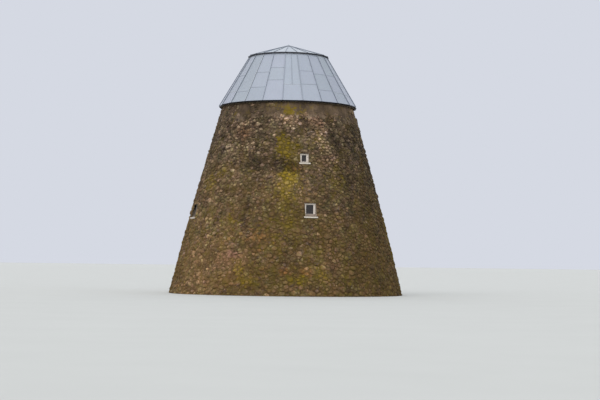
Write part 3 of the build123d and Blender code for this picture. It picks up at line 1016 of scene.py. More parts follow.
@dataclass(frozen=True)
class PlainMetalFinish(Finish):
    """Dark metal: ironwork, painted or rusted, and edges whose dark colour is painted shadow."""

    roughness: float = 0.6
    effects: tuple = (("grit", 30.0), ("weathering", 3.0), ("wear", 25.0))
    colour: tuple = (52, 55, 62)
    rusted: float = 0.2
    metallic: float = 0.0

    def look(self, surface: Surface) -> None:
        """Gives the metal its colour and relief.

        Args:
            surface: The surface.
        """
        surface.colour = srgb(*self.colour)
        surface.speckle(0.85, 1.15)
        edges = surface.times(surface["Edges"], self.rusted)
        rust = surface.plus(surface.times(surface["Blotches"], self.rusted), edges, clamp=True)
        surface.mix(rust, (96, 62, 42))
        surface.fill(surface.shader, {"Metallic": self.metallic})
        surface.relief(surface["Height"], 0.002, 0.6)


@dataclass(frozen=True)
class GlassFinish(Finish):
    """Window glass: clear, a little wavy, dusty in patches."""

    def look(self, surface: Surface) -> None:
        """Gives the glass its dust and waves.

        Args:
            surface: The surface.
        """
        dust = surface.noise(9.0, detail=6.0, roughness=0.7)
        surface.colour = surface.blend(surface.span(dust, 0.5, 0.8, 0.0, 0.35), (98, 82, 74), (92, 80, 74))
        clouded = surface.span(dust, 0.45, 0.8, 0.03, 0.25)
        surface.fill(surface.shader, {"Roughness": clouded, "Transmission Weight": 0.85, "IOR": 1.45})
        surface.relief(surface.noise(3.5, detail=1.0), 0.01, 0.4)


@dataclass(frozen=True)
class FloorFinish(Finish):
    """Plain pale floor, a little cloudy."""

    def look(self, surface: Surface) -> None:
        """Gives the floor its colour."""
        surface.colour = srgb(196, 198, 196)
        surface.shade(surface.span(surface.noise(0.35, detail=3.0), 0.3, 0.7, 0.985, 1.015))


class Finishes(Enum):
    """Every finish on the tower."""

    STONE = StoneFinish("weathered_fieldstone")
    MORTAR = MortarFinish("stained_lime_mortar")
    RENDER = RenderCoatFinish("aged_cement_render")
    SHEET = SheetFinish("galvanised_roof_sheet")
    FRAME = PaintFinish("white_frame_paint")
    FRAME_WITH_DARKER_FOOT = PaintFinish("white_frame_paint_with_darker_foot", darker_foot_height=0.145)
    SILL = PaintFinish("white_sill_limewash", colour=(236, 226, 214), grime=(172, 158, 144))
    PLASTER = PaintFinish("white_reveal_plaster", colour=(204, 193, 182))
    TIMBER = TimberFinish("sawn_oak", along=(3.0, 3.0, 3.0))
    BOARDS = TimberFinish(
        "roof_boarding_pine", light=(150, 126, 92), dark=(112, 90, 62), along=(6.0, 6.0, 2.0)
    )
    DOOR = TimberFinish("door_planks_grey", light=(122, 110, 96), dark=(78, 68, 58), along=(16.0, 16.0, 1.3))
    # Near black: painted shadow under the eaves, on the eave board
    EAVE_BOARD_IN_PAINTED_SHADOW = TimberFinish(
        "eave_board_black_for_painted_shadow", sheen=0.1, light=(22, 21, 22), dark=(10, 10, 12), along=(4.0, 4.0, 14.0)
    )
    # Dark grey and near black: painted shadow under the cap's edge and at the eaves' drip
    CAP_EDGE_IN_PAINTED_SHADOW = PlainMetalFinish("cap_edge_dark_for_painted_shadow", colour=(38, 42, 52), rusted=0.03)
    DRIP = PlainMetalFinish("drip_edge_black_for_painted_shadow", sheen=0.1, colour=(14, 14, 17), rusted=0.02)
    IRON = PlainMetalFinish("wrought_ironwork", colour=(44, 42, 42), rusted=0.8, metallic=0.5)
    SLAB = MortarFinish(
        "worn_floor_concrete",
        light=(150, 146, 138),
        dark=(112, 108, 102),
        film=(116, 110, 100),
        moss=(110, 104, 90),
        stained=0.1,
    )
    DRESSED = MortarFinish(
        "dressed_lintel_stone", light=(150, 134, 108), dark=(112, 98, 76), moss=(96, 88, 44)
    )
    GLASS = GlassFinish("old_wavy_window_pane")

    def material(self) -> bpy.types.Material:
        """The finish's material, built when it is first asked for."""
        return bpy.data.materials.get(self.value.name) or self.value.build()


def dress(piece: Piece, finish: Finishes) -> None:
    """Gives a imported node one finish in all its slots.

    Args:
        piece: The node.
        finish: Its finish.
    """
    if not piece.material_slots:
        piece.data.materials.append(None)
    for slot in piece.material_slots:
        slot.material = finish.material()


def settle(piece: Piece, finish: Finishes, slot: str, *replaced: str, angle: float | None = 40.0) -> None:
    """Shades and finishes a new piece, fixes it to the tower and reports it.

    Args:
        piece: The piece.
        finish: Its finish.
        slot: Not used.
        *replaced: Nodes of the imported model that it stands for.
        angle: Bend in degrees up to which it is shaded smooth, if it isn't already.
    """
    if angle:
        smooth(piece, angle)
    piece.data.materials.clear()
    piece.data.materials.append(finish.material())
    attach(piece, BODY)
    if replaced:
        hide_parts(*replaced)
    LOG.info("%s: %d faces", piece.name, len(piece.data.polygons))


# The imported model's sizes


@dataclass
class Reach:
    """How far a node's points reach along the wall, outwards and upwards."""

    side: tuple[float, float]
    radius: tuple[float, float]
    level: tuple[float, float]

    @property
    def width(self) -> float:
        """Width along the wall."""
        return self.side[1] - self.side[0]


class Packed:
    """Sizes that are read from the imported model."""

    def __init__(self, nodes: dict[str, Piece]) -> None:
        """Keeps the nodes."""
        self.nodes = nodes

    def window_frames(self) -> list[str]:
        """Names of the window frames' nodes."""
        return sorted(name for name in self.nodes if name.endswith(FRAME_END))

    def rounded(self, node: str, name: str, rounding: float, segments: int = 3) -> Piece:
        """Copies a node as a piece with rounded edges.

        Args:
            node: The node's name.
            name: Name of the copy.
            rounding: Width of its rounded edges.
            segments: How many faces round each edge.

        Returns:
            The copy.
        """
        piece = copy_of(self.nodes[node], name)
        bevel(piece, rounding, segments)
        return piece

    def ring_radius(self, node: str, level: float) -> float:
        """Largest distance from the axis of a node's points.

        Args:
            node: The node's name.
            level: Level of the points.

        Returns:
            The distance.
        """
        points = points_of(self.nodes[node])
        near = points[np.abs(points[:, 2] - level) < 0.002]
        return float(np.hypot(near[:, 0], near[:, 1]).max())

    def azimuth_of(self, node: str) -> float:
        """Azimuth in degrees of the middle of a node's box."""
        low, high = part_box(node)
        return math.degrees(math.atan2(low.y + high.y, low.x + high.x))

    def reach(self, node: str, azimuth: float, within: float = 1.2) -> Reach:
        """Extents of a node's points near one direction.

        Args:
            node: The node's name.
            azimuth: The direction in degrees.
            within: How far to the side of it a point still counts.

        Returns:
            The extents.
        """
        points = points_of(self.nodes[node])
        radius, across = (points @ np.array(way(azimuth)) for way in (radial, sideways))
        near = (radius > 0) & (np.abs(across) < within)
        return Reach(*((float(v[near].min()), float(v[near].max())) for v in (across, radius, points[:, 2])))


@dataclass
class WallProfile:
    """Outline of the tower: levels and the radius of the wall's face at each."""

    levels: list[float]
    radii: list[float]

    @classmethod
    def read(cls, packed: Packed) -> WallProfile:
        """Reads the outline from the wall's nodes.

        Args:
            packed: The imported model.

        Returns:
            The outline.
        """
        tiers = ["ground_wall_left", "first_wall_left", "second_wall_left", "wall_head_ring"]
        levels = [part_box(node)[0].z for node in tiers] + [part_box("wall_head_ring")[1].z]
        radii = [packed.ring_radius(node, level) for node, level in zip(tiers, levels)]
        radii.append(packed.ring_radius("wall_head_ring", levels[-1]))
        return cls(levels, radii)

    def radius(self, level: Any) -> Any:
        """Radius of the wall's face at a level, or at many."""
        return np.interp(level, self.levels, self.radii)

    @property
    def rubble_top(self) -> float:
        """Level where the rubble ends under the rendered band."""
        return self.levels[-2]


# Rubble stones


@dataclass(frozen=True)
class StoneGrade:
    """One size of stone, with how many are thrown, how far they stand proud and how low they tend to lie."""

    radii: tuple[float, float]
    darts: int
    proud: tuple[float, float]
    sinking: float = 1.15


class Grades(Enum):
    """Kinds of stone by size, from the largest down, and the flat ones of the repair."""

    BOULDER = StoneGrade((0.16, 0.23), 620, (0.034, 0.070), 2.6)
    FIELDSTONE = StoneGrade((0.105, 0.16), 3200, (0.026, 0.060), 1.8)
    COBBLE = StoneGrade((0.070, 0.112), 20000, (0.016, 0.044))
    PINNING = StoneGrade((0.036, 0.060), 24000, (0.004, 0.018))
    COURSED = StoneGrade((0.090, 0.100), 0, (0.040, 0.060))

    @classmethod
    def number(cls, grade: Grades) -> int:
        """Place of a grade in the list."""
        return list(cls).index(grade)


@dataclass
class StoneForm:
    """A stone that is modelled once: a low rounded block whose outline is a ring of corners."""

    corners: int
    shoulder: float = 0.86
    crown: float = 0.50
    depth: float = 0.03

    def model(self) -> dict[str, np.ndarray]:
        """Models the stone and reads it back.

        Returns:
            Share of the outline, corner and height of each point, and the faces' loops and sizes.
        """
        stone = add_piece("circle", "stone_form", vertices=self.corners, radius=1.0, fill_type="NGON")
        with editing(stone):
            for rise, share in ((0.74, self.shoulder), (0.26, self.crown / self.shoulder)):
                bpy.ops.mesh.extrude_region_move(TRANSFORM_OT_translate={"value": (0.0, 0.0, rise)})
                bpy.ops.transform.resize(value=(share, share, 1.0), center_override=(0.0, 0.0, 0.0))
            bpy.ops.mesh.poke()
            bpy.ops.mesh.select_all(action="SELECT")
            bpy.ops.mesh.normals_make_consistent(inside=False)
        points = points_of(stone)
        share = np.hypot(points[:, 0], points[:, 1])
        corner = np.rint(np.arctan2(points[:, 1], points[:, 0]) / (2 * math.pi) * self.corners).astype(int)
        loops = np.empty(len(stone.data.loops), dtype=int)
        stone.data.loops.foreach_get("vertex_index", loops)
        sizes = np.array([len(face.vertices) for face in stone.data.polygons])
        bpy.data.objects.remove(stone)
        return {
            "share": np.where(share < 1e-4, 0.0, share),
            "corner": corner % self.corners,
            "height": points[:, 2],
            "loops": loops,
            "sizes": sizes,
        }


@dataclass
class Gap:
    """A rectangle on the wall that stones stay out of, such as a window and its sill."""

    azimuth: float
    half_width: float
    low: float
    high: float


@dataclass(frozen=True)
class Repair:
    """A strip of wall that was made good in courses of small flat stones."""

    azimuth: float
    low: float
    high: float
    half_width: float
    course: float = 0.165
    length: float = 0.33
    sway: float = 0.10

    def stones(self, profile: WallProfile, rng: np.random.Generator) -> Iterable[tuple[float, float, float]]:
        """Lays the strip's stones course by course, between edges that wander.

        Args:
            profile: Outline of the tower.
            rng: Source of chance.

        Yields:
            Azimuth in radians, level and rough radius of each stone.
        """
        middle = math.radians(self.azimuth)
        for row, level in enumerate(np.arange(self.low, self.high, self.course)):
            wall = float(profile.radius(level))
            shift = self.sway * math.sin(level * 2.1) + rng.normal(0, 0.04)
            half = self.half_width * (0.78 + 0.3 * math.sin(level * 3.7 + 1.0)) + rng.uniform(0, 0.1)
            place = -half + (row % 2) * self.length / 2
            while place < half:
                turn = middle + (shift + place + rng.normal(0, 0.012)) / wall
                yield turn, level + rng.normal(0, 0.008), rng.uniform(*Grades.COURSED.value.radii)
                place += self.length * rng.uniform(0.8, 1.25)


REPAIRS = (
    Repair(-74.2, 6.95, 8.15, 0.42),
    Repair(-76.6, 8.1, 8.75, 0.30),
    Repair(-78.8, 9.0, 9.75, 0.40),
    Repair(142.0, 5.2, 6.6, 0.40),
)


@dataclass
class Drift:
    """Slow change over the wall, as a sum of long waves, for stones of a batch that lie together."""

    seed: int
    waves: int = 9
    lengths: tuple[float, float] = (1.2, 4.5)

    def at(self, turn: np.ndarray, level: np.ndarray) -> np.ndarray:
        """Value of the drift at places on the wall.

        Args:
            turn: Their azimuths in radians.
            level: Their levels.

        Returns:
            A value between about -1 and 1 for each.
        """
        rng = np.random.default_rng(self.seed)
        total = np.zeros(len(turn))
        spots = round_points(turn, 5.0, level)
        for _ in range(self.waves):
            way = rng.normal(size=3)
            way *= 2 * math.pi / rng.uniform(*self.lengths) / np.linalg.norm(way)
            total += np.sin(spots @ way + rng.uniform(0, 2 * math.pi))
        return total / math.sqrt(self.waves / 2) / 1.6


@dataclass
class RubbleWall:
    """Irregular fieldstones over the whole tower, each fitted among its neighbours.

    Each stone has an azimuth in radians (turn), a level, a rough radius (size) and the number
    of its grade. Heights are stretched by the flatness while stones are fitted, because they
    are wider than they are high.
    """

    profile: WallProfile
    gaps: list[Gap]
    seed: int = 11
    flatness: float = 1.35
    closeness: float = 0.93
    overhang: float = 0.45
    joint: float = 0.012
    clearance: float = 0.014
    smallest: float = 0.022
    columns: int = 46
    neighbours: int = 26
    roundness: float = 16.0
    spread: float = 2.1
    narrowest: float = 0.008
    nearest_edge: float = 0.012
    unevenness: float = 0.28
    tilt: float = 0.09
    bare_side: float = -158.0
    lit_side: float = -132.0
    corners: int = 12
    dimmest: float = 0.02
    quarters: tuple = (("front", -90.0), ("right", 0.0), ("back", 90.0), ("left", 180.0))

    def build(self) -> None:
        """Lays every stone, as one piece for each quarter of each storey."""
        self.turn, self.level, self.size, grade = self.scatter()
        self.grade = grade.astype(int)
        self.wall = self.profile.radius(self.level)
        self.look = self.looks()
        self.outline = self.outlines()
        keep = self.outline.mean(axis=1) > self.smallest
        pinning = self.grade == Grades.number(Grades.PINNING)
        storeys = np.searchsorted(self.profile.levels[1:-2], self.level)
        forms = {step: StoneForm(self.corners // step).model() for step in (2, 1)}
        for storey, storey_name in enumerate(("ground", "first", "second")):
            for side, azimuth in self.quarters:
                beside = np.abs((np.degrees(self.turn) - azimuth + 180) % 360 - 180) <= 45
                chosen = keep & beside & (storeys == storey)
                self.lay(f"{storey_name}_{side}_stones", forms[1], chosen & ~pinning, 1)
                self.lay(f"{storey_name}_{side}_pinning", forms[2], chosen & pinning, 2)

    def scatter(self) -> np.ndarray:
        """Throws stones at the wall, large ones first, and keeps those that find room.

        Returns:
            Rows of the stones' turns, levels, sizes and grades.
        """
        rng = np.random.default_rng(self.seed)
        top = self.profile.levels[-1]
        row = 2 * math.pi * self.profile.radius(top) / self.columns / self.flatness
        kept: dict[tuple[int, int], list[tuple]] = {}
        stones: list[tuple] = []

        def part(turn: float, level: float) -> tuple[int, int]:
            """Column and band of the wall that a place lies in."""
            return int(turn / (2 * math.pi) * self.columns) % self.columns, int(level / row)

        def crowded(turn: float, level: float, size: float, wall: float) -> bool:
            """Whether a stone would lie too near another.

            Args:
                turn: The stone's turn.
                level: Its level.
                size: Its size.
                wall: Radius of the wall there.

            Returns:
                True where one is too near.
            """
            column, band = part(turn, level)
            for across, up in product((-1, 0, 1), repeat=2):
                for other in kept.get(((column + across) % self.columns, band + up), ()):
                    beside = turned_apart(turn, other[0]) * wall
                    apart = math.hypot(beside, (level - other[1]) * self.flatness)
                    if apart < (size + other[2]) * self.closeness:
                        return True
            return False

        def keep(*stone: float) -> None:
            """Files a stone, given by its turn, level, size and grade, under its part of the wall."""
            kept.setdefault(part(*stone[:2]), []).append(stone)
            stones.append(stone)

        for repair in REPAIRS:
            for turn, level, size in repair.stones(self.profile, rng):
                if self.clear_of_gaps(turn, level, size):
                    keep(turn % (2 * math.pi), level, size, Grades.number(Grades.COURSED))
        for number, grade in enumerate(g.value for g in Grades):
            turns = rng.uniform(0, 2 * math.pi, grade.darts)
            levels = top * rng.uniform(0, 1, grade.darts) ** grade.sinking
            sizes = rng.uniform(*grade.radii, grade.darts)
            walls = self.profile.radius(levels)
            for turn, level, size, wall in zip(*(v.tolist() for v in (turns, levels, sizes, walls))):
                room = not crowded(turn, level, size, wall)
                if room and self.clear_of_gaps(turn, level, size * self.overhang):
                    keep(turn, level, size, number)
        table = np.array(stones).T
        # The rendered band hides all stones above its foot but where it has fallen off
        fallen = Drift(self.seed + 5, lengths=(0.8, 2.4)).at(*table[:2])
        fallen += 0.75 * np.cos(table[0] - math.radians(self.bare_side)) ** 3
        return table[:, (table[1] <= self.profile.rubble_top) | (fallen >= 0.95)]

    def clear_of_gaps(self, turn: float, level: float, margin: float) -> bool:
        """Whether a stone's middle lies outside every gap.

        Args:
            turn: The stone's turn.
            level: Its level.
            margin: How far outside it has to lie.

        Returns:
            True where it lies outside all of them.
        """
        wall = float(self.profile.radius(level))
        for gap in self.gaps:
            beside = abs(turned_apart(turn, math.radians(gap.azimuth))) * wall > gap.half_width + margin
            if not (beside or level < gap.low - margin or level > gap.high + margin):
                return False
        return True

    def outlines(self) -> np.ndarray:
        """Fits each stone's outline between its neighbours.

        Returns:
            Distance from the stone's middle to its outline, a row for each stone and a column
            for each corner.
        """
        tree = KDTree(len(self.turn))
        spots = round_points(self.turn, self.wall, self.level * self.flatness)
        for number, spot in enumerate(spots):
            tree.insert(spot, number)
        tree.balance()
        near = np.zeros((len(spots), self.neighbours), dtype=int)
        for number, spot in enumerate(spots):
            found = [index for _, index, _ in tree.find_n(spot, self.neighbours + 1) if index != number]
            near[number] = found[: self.neighbours]
        across = turned_apart(self.turn[near], self.turn[:, None]) * self.wall[:, None]
        up = (self.level[near] - self.level[:, None]) * self.flatness
        apart = np.hypot(across, up)
        halfway = (apart**2 + self.size[:, None] ** 2 - self.size[near] ** 2) / (2 * apart) - self.joint / 2
        halfway = np.maximum(halfway, self.narrowest)
        low = np.maximum(self.nearest_edge, self.level * self.flatness)
        headroom = self.profile.levels[-1] - self.level
        high = np.maximum(self.nearest_edge, headroom * self.flatness)
        angles = np.arange(self.corners) * 2 * math.pi / self.corners
        rng = np.random.default_rng(self.seed + 1)
        limit = np.zeros((len(spots), self.corners))
        for number, angle in enumerate(angles):
            facing = np.maximum(0.0, (across * math.cos(angle) + up * math.sin(angle)) / apart)
            total = ((facing / halfway) ** self.roundness).sum(axis=1)
            total += (1 / (self.spread * self.size)) ** self.roundness
            total += (max(0.0, -math.sin(angle)) / low) ** self.roundness
            total += (max(0.0, math.sin(angle)) / high) ** self.roundness
            limit[:, number] = total ** (-1 / self.roundness)
        # Stones lean into one another a little, so that the joints differ in width
        for lobes, most in ((2, 0.17), (3, 0.10), (5, 0.05)):
            depth = rng.uniform(0, most, (len(spots), 1))
            phase = rng.uniform(0, 2 * math.pi, (len(spots), 1))
            limit *= 1 + depth * np.cos(lobes * angles[None, :] + phase)
        limit *= rng.uniform(0.84, 1.04, limit.shape)
        return np.minimum(limit, self.room_to_gaps(angles))

    def room_to_gaps(self, angles: np.ndarray) -> np.ndarray:
        """Distance from each stone's middle to the first gap.

        Args:
            angles: Directions round the stone.

        Returns:
            A row for each stone and a column for each direction.
        """
        room = np.full((len(self.turn), len(angles)), np.inf)
        step = np.stack([np.cos(angles), np.sin(angles) / self.flatness])
        with np.errstate(divide="ignore", invalid="ignore"):
            for gap in self.gaps:
                across = turned_apart(self.turn, math.radians(gap.azimuth)) * self.wall
                enter, leave = np.full(room.shape, -np.inf), np.full(room.shape, np.inf)
                bounds = ((-gap.half_width, gap.half_width), (gap.low, gap.high))
                for axis, (start, (low, high)) in enumerate(zip((across, self.level), bounds)):
                    one = (low - self.clearance - start[:, None]) / step[axis][None, :]
                    two = (high + self.clearance - start[:, None]) / step[axis][None, :]
                    enter = np.maximum(enter, np.minimum(one, two))
                    leave = np.minimum(leave, np.maximum(one, two))
                hit = (leave > enter) & (enter > 0)
                room = np.where(hit, np.minimum(room, enter), room)
        return room

    def looks(self) -> dict[str, np.ndarray]:
        """Draws the look of every stone.

        Returns:
            Height, kind, tone and tilt of each stone.
        """
        count = len(self.turn)
        rng = np.random.default_rng(self.seed + 2)
        proud = np.array([g.value.proud for g in Grades])[self.grade]
        batch, dirt = (Drift(self.seed + n).at(self.turn, self.level) for n in (3, 4))
        # Rain has washed the stones high up cleaner than those near the ground
        contrast = np.interp(self.level, (4.0, 9.0), (0.18, 0.30))
        # The side that the light and the wet wind reach shows its odd stones lower down too
        lit = np.maximum(0.0, np.cos(self.turn - math.radians(self.lit_side))) ** 2
        contrast += 0.09 * lit * np.interp(self.level, (4.0, 7.0), (1.0, 0.0))
        look = {
            "proud": rng.uniform(proud[:, 0], proud[:, 1]) * np.interp(self.level, (1.0, 6.0), (0.72, 1.0)),
            "kind": np.clip(rng.uniform(0, 1, count) ** np.exp(0.55 * batch), self.dimmest, 1.0),
            "tone": np.clip(0.48 + rng.normal(0, 1, count) * contrast + 0.12 * dirt, self.dimmest, 1.0),
            "tilt": rng.normal(0, self.tilt, (count, 2)),
        }
        coursed = self.grade == Grades.number(Grades.COURSED)
        look["kind"][coursed] = rng.choice(REPAIR_KINDS, coursed.sum())
        look["tone"][coursed] = rng.uniform(0.45, 1.0, coursed.sum())
        for accent in (Accent(*row) for row in ACCENTS):
            across = turned_apart(self.turn, math.radians(accent.azimuth))
            apart = np.hypot(across * self.wall, self.level - accent.level)
            near = apart < accent.reach if accent.reach else apart == apart.min()
            chance = np.random.default_rng(int(accent.level * 100))
            chosen = near & (chance.uniform(0, 1, count) < accent.share)
            look["kind"][chosen] = accent.kind
            tone = accent.tone + chance.normal(0, 0.1, chosen.sum())
            look["tone"][chosen] = np.clip(tone, self.dimmest, 1.0)
        return look

    def lay(self, name: str, form: dict, chosen: np.ndarray, step: int) -> None:
        """Makes one joined piece of copies of the stone form.

        Args:
            name: Name of the piece.
            form: The modelled stone.
            chosen: Which stones it holds.
            step: How many of an outline's corners the form takes as one.
        """
        outline = self.outline[chosen, ::step]
        count, size = len(outline), len(form["share"])
        look = {key: value[chosen] for key, value in self.look.items()}
        rng = np.random.default_rng(self.seed + count)
        angle = form["corner"] * 2 * math.pi / outline.shape[1]
        reach = outline[:, form["corner"]] * form["share"]
        across = reach * np.cos(angle)
        up = reach * np.sin(angle) / self.flatness
        lift = form["height"] * (1 + rng.uniform(-self.unevenness, self.unevenness, (count, size)))
        proud = lift * look["proud"][:, None] + across * look["tilt"][:, :1] + up * look["tilt"][:, 1:]
        proud = np.where(form["height"] < 0.01, -StoneForm.depth, np.maximum(proud, -0.004))
        turn = self.turn[chosen, None] + across / self.wall[chosen, None]
        level = np.clip(self.level[chosen, None] + up, 0.0, None)
        points = round_points(turn, self.profile.radius(level) + proud, level)
        loops = (form["loops"][None, :] + (np.arange(count) * size)[:, None]).ravel()
        sizes = np.tile(form["sizes"], count)
        mesh = bpy.data.meshes.new(name)
        mesh.vertices.add(count * size)
        mesh.vertices.foreach_set("co", points.ravel())
        mesh.loops.add(len(loops))
        mesh.loops.foreach_set("vertex_index", loops)
        mesh.polygons.add(len(sizes))
        mesh.polygons.foreach_set("loop_start", np.concatenate([[0], np.cumsum(sizes)[:-1]]))
        mesh.polygons.foreach_set("use_smooth", np.ones(len(sizes), dtype=bool))
        mesh.update(calc_edges=True)
        piece = bpy.data.objects.new(name, mesh)
        bpy.context.scene.collection.objects.link(piece)
        for key in ("kind", "tone"):
            tag(piece, f"stone_{key}", np.repeat(look[key], size))
        # Tags each stone's foot ring for its painted crevice shade and dirt
        tag(piece, "stone_foot_shade_and_dirt", np.tile(np.clip((form["share"] - 0.78) / 0.22, 0, 1), count))
        settle(piece, Finishes.STONE, "rubble_masonry", angle=None)


@dataclass(frozen=True)
class Accent:
    """A stone, or the stones within a reach, of a kind and tone that stand out."""

    azimuth: float
    level: float
    kind: float
    tone: float
    reach: float = 0.0
    share: float = 1.0


PALE, PINK, ORANGE, SLATE, BRICK = 0.99, 0.82, 0.005, 0.945, 0.97
REPAIR_KINDS = (0.05, 0.75, 0.97, 0.97, 0.82, 0.82, 0.95, 0.99)
ACCENTS = (
    (-76, 7.6, PINK, 0.5, 0.6, 0.35), (-84, 7.2, PINK, 0.45, 0.4, 0.5),
    (-124.9, 7.3, SLATE, 0.2, 0.3, 0.8), (-102.7, 7, SLATE, 0.1, 0.3, 0.7), (-139.4, 8.25, PALE, 0.7),
    (-143.6, 8.65, PALE, 0.6), (-99.9, 9.25, PALE, 0.9, 0.17), (-105, 9.66, PALE, 0.6, 0.17),
    (-115.2, 9, PALE, 0.4), (-139.5, 9.2, ORANGE, 0.5, 0.22), (-120.7, 3.15, ORANGE, 0.5, 0.12),
    (-131.4, 2.2, BRICK, 0.6, 0.35, 0.7), (-130.9, 2.7, SLATE, 0.55, 0.2),
    (-127.4, 1.65, BRICK, 0.3, 0.25), (-99.3, 1.8, SLATE, 0.6, 0.16), (-96.8, 2.1, PALE, 0.7, 0.22),
    (-98.5, 5.75, PALE, 0.45, 0.6, 0.4), (-112, 5.4, PALE, 0.35, 0.7, 0.2),
    (-152, 8.8, PALE, 0.6, 1.6, 0.09), (-138, 8.9, PALE, 0.7, 1.3, 0.07),
    (-126, 8.8, PINK, 0.7, 1.1, 0.15), (-77, 8.9, PALE, 0.7, 1.1, 0.12),
    (-100, 9.75, PALE, 0.6, 0.6, 0.25), (-158, 1.2, PINK, 0.65, 1.2, 0.25), (-95.1, 1.3, ORANGE, 0.6),
    (-104.2, 1.3, ORANGE, 0.5), (-81.5, 1.45, 0.76, 0.3, 0.25), (-138, 2.6, PALE, 0.5, 1.6, 0.07),
    (-124, 2.3, ORANGE, 0.45, 1.6, 0.06), (-113, 2.5, SLATE, 0.3, 1.6, 0.09),
    (-128, 1.5, BRICK, 0.5, 1.6, 0.08),
)


@dataclass
class CoatEdge:
    """Ragged lower edge of the rendered band, where it runs out over the rubble."""

    profile: WallProfile
    columns: int = 420
    rows: int = 7
    overlap: float = 0.02
    shortest: float = 0.02
    longest: float = 0.42
    usual_reach: float = 0.55
    waves: tuple = (3, 7, 12, 19, 31, 47, 71, 110)
    thickness: float = 0.018
    unevenness: float = 0.004
    seed: int = 21

    def build(self) -> None:
        """Models the strip as a tube round the wall's head and lets its foot wander."""
        top = self.profile.rubble_top + self.overlap
        rng = np.random.default_rng(self.seed)
        piece = grid("render_coat_edge", self.columns, self.rows)
        u, v, _ = points_of(piece).T
        turn = (u + 1) * math.pi
        reach = np.full(len(u), self.usual_reach)
        for waves in self.waves:
            depth = rng.uniform(0.5, 1.0) * 0.6 / waves**0.4
            reach += depth * np.sin(waves * turn + rng.uniform(0, 2 * math.pi))
        down = (1 - v) / 2
        level = top - (self.shortest + (self.longest - self.shortest) * np.clip(reach, 0, 1)) * down
        roughness = self.unevenness * np.sin(31 * turn + 40 * level) * np.sin(53 * turn - 25 * level)
        proud = self.thickness * (1 - 0.85 * down**3) + roughness * (down > 0.01) * (down < 0.99)
        wall = self.profile.radius(level) + np.where(down < 0.01, 0.001, proud)
        move_points(piece, round_points(turn, wall, level))
        with editing(piece):
            bpy.ops.mesh.remove_doubles(threshold=0.0005)
        thicken(piece, self.thickness + 0.012)
        tag(piece, "coat_foot", np.clip((top - points_of(piece)[:, 2]) / self.longest, 0, 1))
        settle(piece, Finishes.RENDER, "cement_render", angle=50.0)


# Roof


@dataclass
class Slope:
    """A ring of flat facets: radius and level of its hips at the foot and at the top."""

    foot: tuple[float, float]
    top: tuple[float, float]

    @classmethod
    def read(cls, packed: Packed, node: str) -> Slope:
        """Reads the outer face of a node's facets.

        Args:
            packed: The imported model.
            node: The node's name.

        Returns:
            The ring of facets.
        """
        points = points_of(packed.nodes[node])
        radius, level = np.hypot(points[:, 0], points[:, 1]), points[:, 2]
        ends = (level < level.min() + 0.004, level > level.max() - 0.004)
        return cls(*((float(radius[end].max()), float(level[end].max())) for end in ends))

    @property
    def run(self) -> float:
        """How far the hips lean out from top to foot."""
        return self.foot[0] - self.top[0]

    @property
    def rise(self) -> float:
        """How far the hips climb."""
        return self.top[1] - self.foot[1]

    @property
    def length(self) -> float:
        """Length of the hips."""
        return math.hypot(self.run, self.rise)

    def hip(self, azimuth: float, down: float) -> Vector:
        """Place of the hip at an azimuth and a share of the way down."""
        level = Vector((0, 0, self.top[1] - self.rise * down))
        return radial(azimuth) * (self.top[0] + self.run * down) + level

    def normal(self, azimuth: float) -> Vector:
        """Direction out of the slope at an azimuth."""
        return (radial(azimuth) * self.rise + Vector((0, 0, self.run))).normalized()


@dataclass
class Facet:
    """One flat facet of a ring: the azimuth of its middle and the degrees that it spans."""

    slope: Slope
    azimuth: float
    spans: float

    def half_width(self, down: Any) -> Any:
        """Half its width at a share of the way down."""
        return (self.slope.top[0] + self.slope.run * down) * math.sin(math.radians(self.spans / 2))

    def place(self, across: Any, down: Any, lift: Any) -> np.ndarray:
        """Places points on the facet.

        Args:
            across: Metres to the side of its middle line.
            down: Share of the way down.
            lift: Metres off its face.

        Returns:
            One row for each point.
        """
        slope, half = self.slope, math.radians(self.spans / 2)
        foot, top = (r * math.cos(half) for r in (slope.foot[0], slope.top[0]))
        out, side, up = (np.array(v) for v in (radial(self.azimuth), sideways(self.azimuth), (0.0, 0.0, 1.0)))
        run = foot - top
        normal = (out * slope.rise + up * run) / math.hypot(run, slope.rise)
        level = slope.top[1] - slope.rise * down
        parts = ((top + run * down, out), (across, side), (level, up), (lift, normal))
        return sum(np.outer(amount, way) for amount, way in parts)


